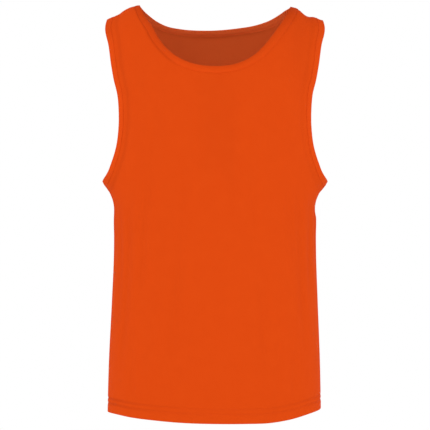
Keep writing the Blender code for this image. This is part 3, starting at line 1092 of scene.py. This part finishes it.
NECK = Opening(neck_lines, neck_dip, neck_shade)
LEFT_ARMHOLE = armhole(1)
RIGHT_ARMHOLE = armhole(-1)


def binding(opening, name, material):
    """A strip folded over the cut edge of both panels, all round an opening."""
    section = binding_section()
    widths = sorted({width for width, _, _ in section})
    rings = rings_on(opening.lines, [0.0, *widths], BINDING_STATIONS)
    edge = rings[0.0][0]
    edgewards = unit(edge - rings[widths[0]][0])
    around_ring = lengths_along(np.concatenate([edge, edge[:1]]))
    right_side, wrong_side, shade, inside = [], [], [], []
    for width, turn, share in section:
        points, normals = rings[width]
        facing = math.cos(turn) * normals + math.sin(turn) * edgewards
        depth = CLOTH / 2 + opening.dip(width, points, normals)
        middle = points - normals * depth[:, None] + facing * BINDING_BEND
        press = 0 if 0 < turn < math.pi else row_press(width - BINDING_ROW)
        right_side.append(middle + facing * (BINDING_CLOTH * share / 2 - press))
        wrong_side.append(middle - facing * BINDING_CLOTH * share / 2)
        outside = turn < math.pi / 2
        # painted shade beside the opening's edge and over the left strap
        shade.append(opening.shade(width, points, outside) + strap_shade(points, outside))
        inside.append(np.full(len(points), float(turn > math.pi / 2)))
    steps = np.linalg.norm(np.diff(np.mean([right_side, wrong_side], axis=0), axis=0), axis=2)
    across_strip = np.concatenate([[0], np.cumsum(steps.mean(axis=1))])

    count = len(edge) + 1
    right_side, wrong_side, shade, inside = (
        np.concatenate([np.concatenate([row, row[:1]]) for row in rows])
        for rows in (right_side, wrong_side, shade, inside)
    )
    grid = np.arange(len(section) * count).reshape(len(section), count)
    cut = strip_cut(around_ring[None, :], across_strip[:, None])
    shades = {"shade": np.tile(shade, 2), "inside": np.tile(inside, 2)}
    return cloth_piece(name, right_side, wrong_side, [grid], cut, shades, material)


def seam_line(kind, side, count):
    """A seam between the panels, past the bindings, as cloth coordinates on the back."""
    if kind == "side":
        around = np.full(count, side * SIDE_SEAM)
        low = hem_up(BACK, around[0]) + HEM_TURN
        return around, np.linspace(low, UNDERARM_HEIGHT - BINDING_WIDTH, count)
    (armhole,) = armhole_lines(BACK, side, [BINDING_WIDTH], ARMHOLE_STATIONS)
    (neck,) = neck_lines(BACK, [BINDING_WIDTH], NECK_STATIONS)
    ends = sorted([armhole[0][-1], neck[0][-1 if side > 0 else 0]])
    around = np.linspace(*ends, count)
    up = np.zeros(count)
    for _ in range(RIDGE_TRIES):
        around, up = pinned(BACK, around, up, [], range(count))
    return around, up


SEAMS = (("side", 1), ("side", -1), ("shoulder", 1), ("shoulder", -1))


def allowance_lines(kind, side, count):
    """Lines over a seam's allowances, from the seam to their overlocked edge."""
    line = seam_line(kind, side, count)
    inward = -side if kind == "side" else 1
    lines = []
    reached = 0.0
    for width in np.linspace(ALLOWANCE_START, ALLOWANCE_WIDTH, len(ALLOWANCE_SHARES)):
        line = moved_in(BACK, line, width - reached, inward, ([], []))
        reached = width
        points, normals = points_and_normals(BACK, *line)
        depth = CLOTH + ALLOWANCE_SLACK + seam_dip(SEAM_DIP_FULL, points)
        lines.append((points - normals * depth[:, None], normals))
    return lines


def seam_allowance(kind, side, material):
    """The two panels' edges inside a seam, lying together towards the back."""
    lines = allowance_lines(kind, side, ALLOWANCE_STATIONS)
    shares = np.array(ALLOWANCE_SHARES)
    near = np.array([points for points, _ in lines])
    deeper = np.array([normals for _, normals in lines]) * shares[:, None, None]
    far = near - deeper * ALLOWANCE_THICKNESS
    grid = np.arange(near.shape[0] * near.shape[1]).reshape(near.shape[:2])
    cut = strip_cut(lengths_along(near[:, 0])[:, None], lengths_along(near[0])[None, :])
    shades = {"inside": np.ones(grid.size * 2)}
    name = f"{kind}_seam_{'left' if side > 0 else 'right'}"
    sheets = far.reshape(-1, 3), near.reshape(-1, 3)
    return cloth_piece(name, *sheets, [grid], cut, shades, material)


def one_stitch():
    """One short length of thread, a unit long and wide, along X: its points and its faces."""
    bpy.ops.object.select_all(action="DESELECT")
    bpy.ops.mesh.primitive_uv_sphere_add(
        segments=STITCH_SIDES, ring_count=STITCH_SIDES, radius=0.5
    )
    stitch = bpy.context.object
    mesh = stitch.data
    points = np.array([vertex.co for vertex in mesh.vertices])[:, [2, 0, 1]]
    points[:, 0] = signed_power(points[:, 0] * 2, STITCH_BLUNTNESS) / 2
    faces = [list(face.vertices) for face in mesh.polygons]
    bpy.data.objects.remove(stitch)
    bpy.data.meshes.remove(mesh)
    return points, faces


def stitching(name, runs, material):
    """Stitches. Each run is the stitches' starts, their ends and the way out of the cloth."""
    unit_points, unit_faces = one_stitch()
    points, faces = [], []
    for starts, ends, outs in runs:
        for start, end, out in zip(starts, ends, outs):
            along = end - start
            side = unit(np.cross(out, along))
            thread = THREAD_WIDTH * np.array([side, unit(np.cross(along, side))])
            faces += [[corner + len(points) for corner in face] for face in unit_faces]
            middle = (start + end) / 2
            points += list(middle + unit_points @ np.array([along, *thread]))
    mesh = bpy.data.meshes.new(name)
    mesh.from_pydata((np.array(points) * FIT).tolist(), [], faces)
    mesh.shade_smooth()
    mesh.materials.append(material)
    return placed(mesh)


def read_along(places, travelled, values):
    """Rows of values, read at places along the line that they belong to."""
    return np.stack([np.interp(places, travelled, value) for value in values.T], axis=1)


def row_of_stitches(line, normals):
    """A straight row of stitches along a line, as a run."""
    travelled = lengths_along(line)
    count = int(travelled[-1] / STITCH_PITCH)
    middles = (np.arange(count) + 0.5) * travelled[-1] / count
    starts = read_along(middles - STITCH_LENGTH / 2, travelled, line)
    ends = read_along(middles + STITCH_LENGTH / 2, travelled, line)
    return starts, ends, read_along(middles, travelled, normals)


def zigzag_of_thread(near, far, normals, pitch):
    """Thread laid to and fro between two lines, as a run."""
    travelled = lengths_along(near)
    count = int(travelled[-1] / pitch)
    places = np.linspace(0, travelled[-1], count + 1)
    even, odd = (read_along(places, travelled, line) for line in (near, far))
    corners = np.where((np.arange(count + 1) % 2 == 0)[:, None], even, odd)
    return corners[:-1], corners[1:], read_along(places[:-1], travelled, normals)


def binding_stitches(opening):
    """The row of stitches through a binding, as it shows outside and inside."""
    points, normals = rings_on(opening.lines, [BINDING_ROW], BINDING_STATIONS)[BINDING_ROW]
    points, normals = (np.vstack([values, values[:1]]) for values in (points, normals))
    depth = CLOTH / 2 + opening.dip(BINDING_ROW, points, normals)
    middle = points - normals * depth[:, None]
    height = BINDING_BEND + BINDING_CLOTH / 2 - STITCH_PRESS
    return [row_of_stitches(middle + out * height, out) for out in (normals, -normals)]


def hem_line(face, row, depth):
    """A line along the hem at a height above its edge, sunk in the cloth by a depth."""
    around = np.linspace(-SIDE_SEAM, SIDE_SEAM, FINE_STATIONS)
    up = hem_up(face, around) + row
    points, out = points_and_normals(face, around, up)
    return points - out * (hem_dip(around, row, points) + depth)[:, None], out


def hem_stitches():
    """The twin rows of stitches above the hem's edge, and the thread between them inside."""
    runs = []
    inside = 2 * CLOTH + HEM_LAYER_GAP
    for face in (FRONT, BACK):
        runs += [row_of_stitches(*hem_line(face, row, STITCH_PRESS)) for row in HEM_ROWS]
        (low, out), (high, _) = (hem_line(face, row, inside) for row in HEM_ROWS)
        runs.append(zigzag_of_thread(low, high, -out, STITCH_PITCH))
    return runs


def overlock_stitches():
    """The thread wrapped over the seams' allowances."""
    runs = []
    for kind, side in SEAMS:
        lines = allowance_lines(kind, side, ALLOWANCE_STATIONS)
        (near, out), (far, _) = (lines[number] for number in (1, -1))
        near = near - out * ALLOWANCE_THICKNESS
        far = far - out * ALLOWANCE_THICKNESS * OVERLOCK_SHARE_AT_EDGE
        runs.append(zigzag_of_thread(near, far, -out, OVERLOCK_PITCH))
    return runs


# Materials

Grain = namedtuple("Grain", "scale detail")

# The dye on the cloth's face, where it is worn, inside partly painted light, and painted shade
Dye = namedtuple("Dye", "face worn inside deep")
PANEL_DYE_AND_PAINTED_LIGHT = Dye(
    (0.704, 0.0650, 0.0046),
    (0.733, 0.0730, 0.0056),
    (0.650, 0.1010, 0.0210),
    (0.300, 0.0240, 0.0020),
)
# the binding's inside is lighter: a painted highlight where the folded band catches light
BINDING_DYE_AND_PAINTED_LIGHT = PANEL_DYE_AND_PAINTED_LIGHT._replace(inside=(0.722, 0.1170, 0.0270))

# The mesh: its eyelets' size is a share of their spacing, and its relief is in metres
Knit = namedtuple("Knit", "dye eyelet_spacing row_spacing eyelet_size relief roughness")
PANEL_KNIT = Knit(PANEL_DYE_AND_PAINTED_LIGHT, 0.0024, 0.0013, 0.27, 0.00022, 0.82)
BINDING_KNIT = Knit(BINDING_DYE_AND_PAINTED_LIGHT, 0.0018, 0.0010, 0.20, 0.00014, 0.76)

# Ribs and loops between the eyelets, how dye and light take them, and their painted shade
BROAD_RIB_SPACING = 0.0032
EYELET_ROW_SHARE = 0.6
EYELET_RIM = (-0.10, 0.02)
FINE_RIBS_PER_EYELET = 2
FINE_RIB_RELIEF = 0.14
LOOPS_PER_ROW = 3
LOOP_RELIEF = 0.08
KNIT_BUMP = 0.7
EYELET_ROUGHNESS = 0.95
EYELET_SHADE = 0.30
RIB_SHADE = 0.025
DYE_GRAIN = Grain(45.0, 3.0)
DYE_MOTTLE_RANGE = (0.35, 0.8)
MOST_MOTTLE = 0.3
KNIT_FINISH = {
    "Metallic": 0.0,
    "Specular IOR Level": 0.02,
    "Sheen Weight": 0.02,
    "Sheen Roughness": 0.45,
    "Sheen Tint": (1.0, 0.16, 0.02),
}

THREAD_TWIST = Grain(2600.0, 2.0)
THREAD_BUMP = 0.5
THREAD_RELIEF = 0.0001
THREAD_FINISH = {"Roughness": 0.6, "Specular IOR Level": 0.08}

# A Mix node's sockets for colours: the share, the first and the second, and the result
MIX_INPUTS = (0, 6, 7)
MIX_RESULT = 2


def new_group(name, inputs, outputs):
    """A shader node group with these sockets: inputs as (name, kind, value)."""
    tree = bpy.data.node_groups.new(name, "ShaderNodeTree")
    for socket_name, kind, value in inputs:
        socket = tree.interface.new_socket(socket_name, in_out="INPUT", socket_type=kind)
        if value is not None:
            socket.default_value = value
    for socket_name, kind in outputs:
        tree.interface.new_socket(socket_name, in_out="OUTPUT", socket_type=kind)
    return tree, tree.nodes.new("NodeGroupInput"), tree.nodes.new("NodeGroupOutput")


def fill(tree, node, given):
    """Give a node's inputs these numbers, colours or links."""
    for name, value in given.items():
        if isinstance(value, tuple):
            node.inputs[name].default_value = (*value, 1.0)
        elif isinstance(value, (int, float)):
            node.inputs[name].default_value = value
        else:
            tree.links.new(value, node.inputs[name])


def math_node(tree, operation, *values, clamp=False):
    """A Math node on sockets or numbers, and its result."""
    node = tree.nodes.new("ShaderNodeMath")
    node.operation = operation
    node.use_clamp = clamp
    fill(tree, node, dict(enumerate(values)))
    return node.outputs[0]


def eased(tree, value, low, high, to_low=0.0, to_high=1.0):
    """A value eased from one range to another."""
    node = tree.nodes.new("ShaderNodeMapRange")
    node.interpolation_type = "SMOOTHSTEP"
    ranges = {"From Min": low, "From Max": high, "To Min": to_low, "To Max": to_high}
    fill(tree, node, {"Value": value, **ranges})
    return node.outputs["Result"]


def noise(tree, vector, grain):
    node = tree.nodes.new("ShaderNodeTexNoise")
    fill(tree, node, {"Vector": vector, "Scale": grain.scale, "Detail": grain.detail})
    return node.outputs["Fac"]


def attribute(tree, name):
    node = tree.nodes.new("ShaderNodeAttribute")
    node.attribute_name = name
    return node.outputs["Fac"]


def mixed_colour(tree, share, first, second):
    """A colour between two, each a socket or a colour."""
    node = tree.nodes.new("ShaderNodeMix")
    node.data_type = "RGBA"
    fill(tree, node, dict(zip(MIX_INPUTS, (share, first, second))))
    return node.outputs[MIX_RESULT]


def bump(tree, height, strength, distance):
    node = tree.nodes.new("ShaderNodeBump")
    fill(tree, node, {"Strength": strength, "Distance": distance, "Height": height})
    return node.outputs["Normal"]


def eyelets(tree, places, rows, size):
    """Marks the eyelets; every other row of them is shifted by half their spacing."""
    odd = math_node(tree, "MODULO", math_node(tree, "FLOOR", rows), 2.0)
    odd = math_node(tree, "ABSOLUTE", odd)
    shifted = math_node(tree, "ADD", places, math_node(tree, "MULTIPLY", odd, 0.5))
    across = math_node(tree, "SUBTRACT", math_node(tree, "FRACT", shifted), 0.5)
    along = math_node(tree, "SUBTRACT", math_node(tree, "FRACT", rows), 0.5)
    along = math_node(tree, "MULTIPLY", along, EYELET_ROW_SHARE)
    across_squared = math_node(tree, "MULTIPLY", across, across)
    along_squared = math_node(tree, "MULTIPLY", along, along)
    from_middle = math_node(tree, "SQRT", math_node(tree, "ADD", across_squared, along_squared))
    from_rim = math_node(tree, "SUBTRACT", from_middle, size)
    return eased(tree, from_rim, *EYELET_RIM, 1.0, 0.0)


def broad_ribs(tree, across, spacing):
    """A slow wave from 0 to 1 across the cloth."""
    turns = math_node(tree, "DIVIDE", across, spacing)
    wave = math_node(tree, "COSINE", math_node(tree, "MULTIPLY", turns, math.tau))
    return math_node(tree, "MULTIPLY_ADD", wave, 0.5, 0.5)


def eyelet_knit_group():
    """Warp-knitted mesh: ribs up the cloth with small eyelets between them, in staggered rows.

    "Gaps" marks the eyelets, "Ribs" where painted shade falls between broad ribs, and
    "Height" is the relief.
    """
    tree, given, result = new_group(
        "eyelet knit",
        [
            ("Cut", "NodeSocketVector", None),
            ("Eyelet spacing", "NodeSocketFloat", PANEL_KNIT.eyelet_spacing),
            ("Row spacing", "NodeSocketFloat", PANEL_KNIT.row_spacing),
            ("Broad rib spacing", "NodeSocketFloat", BROAD_RIB_SPACING),
            ("Eyelet size", "NodeSocketFloat", PANEL_KNIT.eyelet_size),
        ],
        [("Gaps", "NodeSocketFloat"), ("Ribs", "NodeSocketFloat"), ("Height", "NodeSocketFloat")],
    )
    split = tree.nodes.new("ShaderNodeSeparateXYZ")
    tree.links.new(given.outputs["Cut"], split.inputs[0])
    places = math_node(tree, "DIVIDE", split.outputs["X"], given.outputs["Eyelet spacing"])
    rows = math_node(tree, "DIVIDE", split.outputs["Y"], given.outputs["Row spacing"])
    gaps = eyelets(tree, places, rows, given.outputs["Eyelet size"])
    ribs = broad_ribs(tree, split.outputs["X"], given.outputs["Broad rib spacing"])
    fine = math_node(tree, "MULTIPLY", places, FINE_RIBS_PER_EYELET * math.tau)
    fine = math_node(tree, "COSINE", fine)
    loops = math_node(tree, "MULTIPLY", rows, LOOPS_PER_ROW * math.tau)
    loops = math_node(tree, "MULTIPLY", math_node(tree, "SINE", loops), LOOP_RELIEF)
    relief = math_node(tree, "MULTIPLY_ADD", fine, FINE_RIB_RELIEF, loops)
    height = math_node(tree, "SUBTRACT", relief, gaps)
    fill(tree, result, {"Gaps": gaps, "Ribs": ribs, "Height": height})
    return tree


def shaded_dye_group():
    """Dye with its mottle, duller inside partly by painted light, and painted shade in gaps, at stitches and in folds.
    """
    tree, given, result = new_group(
        "shaded dye",
        [
            ("Place", "NodeSocketVector", None),
            ("Gaps", "NodeSocketFloat", 0.0),
            ("Ribs", "NodeSocketFloat", 0.0),
            ("Dye", "NodeSocketColor", (1, 1, 1, 1)),
            ("Worn dye", "NodeSocketColor", (1, 1, 1, 1)),
            ("Inside dye and painted light", "NodeSocketColor", (1, 1, 1, 1)),
            ("Painted shade colour", "NodeSocketColor", (0, 0, 0, 1)),
        ],
        [("Color", "NodeSocketColor")],
    )
    mottle = noise(tree, given.outputs["Place"], DYE_GRAIN)
    mottle = eased(tree, mottle, *DYE_MOTTLE_RANGE, 0.0, MOST_MOTTLE)
    colour = mixed_colour(tree, mottle, given.outputs["Dye"], given.outputs["Worn dye"])
    # the inside's colour, partly the wrong side's duller dye and partly painted light
    inside = attribute(tree, "inside")
    colour = mixed_colour(tree, inside, colour, given.outputs["Inside dye and painted light"])
    # painted shade in the eyelets and between the broad ribs
    gaps = math_node(tree, "MULTIPLY", given.outputs["Gaps"], EYELET_SHADE)
    ribs = math_node(tree, "MULTIPLY", given.outputs["Ribs"], RIB_SHADE)
    knit = math_node(tree, "ADD", gaps, ribs)
    # the painted shade, mixed in the painted shade colour
    dark = math_node(tree, "ADD", knit, attribute(tree, "shade"), clamp=True)
    colour = mixed_colour(tree, dark, colour, given.outputs["Painted shade colour"])
    tree.links.new(colour, result.inputs["Color"])
    return tree


def new_material(name, finish):
    """A material with this finish: itself, its nodes, its shader and the place on a piece."""
    material = bpy.data.materials.new(name)
    material.use_nodes = True
    tree = material.node_tree
    shader = tree.nodes["Principled BSDF"]
    fill(tree, shader, finish)
    place = tree.nodes.new("ShaderNodeTexCoord").outputs["Object"]
    return material, tree, shader, place


def knit_material(name, groups, knit):
    """Dyed mesh knit that follows the cut."""
    material, tree, shader, place = new_material(name, KNIT_FINISH)
    cut = tree.nodes.new("ShaderNodeUVMap")
    cut.uv_map = "cut"
    mesh, dye = (tree.nodes.new("ShaderNodeGroup") for _ in groups)
    mesh.node_tree, dye.node_tree = groups
    eyelet_sizes = {
        "Eyelet spacing": knit.eyelet_spacing,
        "Row spacing": knit.row_spacing,
        "Eyelet size": knit.eyelet_size,
    }
    dyes_and_painted_light = {
        "Dye": knit.dye.face,
        "Worn dye": knit.dye.worn,
        "Inside dye and painted light": knit.dye.inside,
        "Painted shade colour": knit.dye.deep,
    }
    gaps = mesh.outputs["Gaps"]
    fill(tree, mesh, {"Cut": cut.outputs["UV"], **eyelet_sizes})
    fill(tree, dye, {"Place": place, "Gaps": gaps, "Ribs": mesh.outputs["Ribs"], **dyes_and_painted_light})
    rough = eased(tree, gaps, 0.0, 1.0, knit.roughness, EYELET_ROUGHNESS)
    normal = bump(tree, mesh.outputs["Height"], KNIT_BUMP, knit.relief)
    colour = dye.outputs["Color"]
    fill(tree, shader, {"Base Color": colour, "Roughness": rough, "Normal": normal})
    return material


def thread_material():
    """Twisted polyester thread in the cloth's colour, a little glossier."""
    material, tree, shader, place = new_material("sewing thread", THREAD_FINISH)
    twist = noise(tree, place, THREAD_TWIST)
    colour = mixed_colour(tree, twist, PANEL_DYE_AND_PAINTED_LIGHT.face, PANEL_DYE_AND_PAINTED_LIGHT.worn)
    normal = bump(tree, twist, THREAD_BUMP, THREAD_RELIEF)
    fill(tree, shader, {"Base Color": colour, "Normal": normal})
    return material


# The studio

BLACK = (0.0, 0.0, 0.0)
WHITE = (1.0, 1.0, 1.0)
FLOOR_DROP = 0.77
FLOOR_RADIUS = 4.0
FLOOR_FADES_FROM = 1.2
FLOOR_WHITE_FROM = 3.8
FLOOR_SIDES = 96
FLOOR_PAINTS = ((0.80, 0.80, 0.79), (0.84, 0.84, 0.83))
FLOOR_GRAIN = Grain(3.0, 4.0)
CAMERA_DISTANCE = 2.5
CAMERA_DROP = 0.0089
LENS = 124.6
WORLD_LIGHT = 0.945
WORLD_SEEN = 1.0
FLOOR_FINISH = {"Roughness": 0.9, "Specular IOR Level": 0.1, "Emission Strength": WORLD_SEEN}
Light = namedtuple("Light", "name place size energy")
LIGHTS = (
    Light("front light", (-0.5, -3.2, 0.2), 2.4, 14.0),
    Light("left light", (-2.9, -1.3, -0.3), 2.2, 12.5),
    Light("right light", (2.9, -1.3, -0.3), 2.2, 16.5),
    Light("back light", (0.6, 3.2, 0.3), 2.4, 21.0),
)


def floor_material():
    """Plain pale paint with a faint mottle, which passes into the white surround far out."""
    material, tree, shader, place = new_material("pale floor", FLOOR_FINISH)
    paint = mixed_colour(tree, noise(tree, place, FLOOR_GRAIN), *FLOOR_PAINTS)
    from_middle = tree.nodes.new("ShaderNodeVectorMath")
    from_middle.operation = "LENGTH"
    tree.links.new(place, from_middle.inputs[0])
    far = eased(tree, from_middle.outputs["Value"], FLOOR_FADES_FROM, FLOOR_WHITE_FROM)
    colour = mixed_colour(tree, far, paint, BLACK)
    glow = mixed_colour(tree, far, BLACK, WHITE)
    fill(tree, shader, {"Base Color": colour, "Emission Color": glow})
    return material


def lamp(light, middle):
    """A soft round light that points at the bib."""
    data = bpy.data.lights.new(light.name, "AREA")
    data.shape = "DISK"
    data.size = light.size
    data.energy = light.energy
    holder = bpy.data.objects.new(light.name, data)
    holder.location = light.place
    holder.rotation_euler = (middle - holder.location).to_track_quat("-Z", "Y").to_euler()
    holder.visible_camera = False
    bpy.context.scene.collection.objects.link(holder)


def white_world():
    """An even white surround, whiter to the camera than the light that it gives."""
    world = bpy.data.worlds.new("white studio")
    world.use_nodes = True
    tree = world.node_tree
    seen = tree.nodes.new("ShaderNodeLightPath").outputs["Is Camera Ray"]
    brighter = math_node(tree, "MULTIPLY", seen, WORLD_SEEN - WORLD_LIGHT)
    strength = math_node(tree, "ADD", brighter, WORLD_LIGHT)
    fill(tree, tree.nodes["Background"], {"Color": WHITE, "Strength": strength})
    return world


def studio(middle, floor_height):
    """The pale floor, the lights, the white surround and the camera."""
    bpy.ops.object.select_all(action="DESELECT")
    bpy.ops.mesh.primitive_circle_add(
        vertices=FLOOR_SIDES,
        radius=FLOOR_RADIUS,
        fill_type="TRIFAN",
        location=(0, 0, floor_height),
    )
    floor = bpy.context.object
    floor.name = "floor"
    floor.data.materials.append(floor_material())
    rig.stage(floor)
    for light in LIGHTS:
        lamp(light, middle)
    bpy.context.scene.world = white_world()
    bpy.context.scene.view_settings.view_transform = "Standard"

    camera = bpy.data.objects.new("camera", bpy.data.cameras.new("camera"))
    camera.data.lens = LENS
    camera.location = (middle.x, -CAMERA_DISTANCE, middle.z - CAMERA_DROP)
    camera.rotation_euler = (math.pi / 2, 0, 0)
    bpy.context.scene.collection.objects.link(camera)
    bpy.context.scene.camera = camera


def flat_cut(piece):
    """The width, length and area of a piece's flat cut, on which both of its sides lie."""
    mesh = piece.data
    count = len(mesh.polygons)
    corners = np.zeros(len(mesh.loops) * 2)
    mesh.uv_layers["cut"].data.foreach_get("uv", corners)
    corners = corners.reshape(count, 4, 2)
    one, other = corners[:, 2] - corners[:, 0], corners[:, 3] - corners[:, 1]
    cells = np.abs(one[:, 0] * other[:, 1] - one[:, 1] * other[:, 0]) / 2
    area = cells.sum() / 2
    width, length = np.ptp(corners.reshape(-1, 2), axis=0)
    return {"flat": (float(width), float(length)), "area": float(min(area, width * length))}


groups = eyelet_knit_group(), shaded_dye_group()
panel_knit = knit_material("panel mesh", groups, PANEL_KNIT)
binding_knit = knit_material("binding mesh", groups, BINDING_KNIT)
thread = thread_material()

front = panel(FRONT, "front_panel_cloth", panel_knit)
back = panel(BACK, "back_panel_cloth", panel_knit)
neck = binding(NECK, "neck_binding_cloth", binding_knit)
left = binding(LEFT_ARMHOLE, "armhole_binding_left_cloth", binding_knit)
right = binding(RIGHT_ARMHOLE, "armhole_binding_right_cloth", binding_knit)
allowances = [seam_allowance(kind, side, panel_knit) for kind, side in SEAMS]
hem_rows = stitching("hem_stitches", hem_stitches(), thread)
overlock = stitching("overlock_stitches", overlock_stitches(), thread)
neck_row = stitching("neck_stitches", binding_stitches(NECK), thread)
left_row = stitching("armhole_stitches_left", binding_stitches(LEFT_ARMHOLE), thread)
right_row = stitching("armhole_stitches_right", binding_stitches(RIGHT_ARMHOLE), thread)
rows = [hem_rows, overlock, neck_row, left_row, right_row]

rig.replaces(front, "front_panel")
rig.replaces(back, "back_panel")
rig.replaces(neck, "neck_binding")
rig.replaces(left, "armhole_binding_left")
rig.replaces(right, "armhole_binding_right")
for piece in (front, back, neck, left, right, *allowances, *rows):
    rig.ride(piece, "root")
for piece in (front, back, *allowances):
    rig.slot(piece, "panel_mesh")
for piece in (neck, left, right, *rows):
    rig.slot(piece, "binding_mesh")
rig.sheet(front, held="hung", with_pieces=[hem_rows], **flat_cut(front))
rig.sheet(back, held="hung", with_pieces=[*allowances, overlock], **flat_cut(back))
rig.sheet(neck, held="hung", with_pieces=[neck_row], **flat_cut(neck))
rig.sheet(left, held="hung", with_pieces=[left_row], **flat_cut(left))
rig.sheet(right, held="hung", with_pieces=[right_row], **flat_cut(right))

studio((cad_low + cad_high) / 2, cad_low.z - FLOOR_DROP)

with open("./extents.json", "w") as size_file:
    boxes = {"cad": (cad_low, cad_high), "visual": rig.bounds()}
    json.dump({name: [list(corner) for corner in box] for name, box in boxes.items()}, size_file)
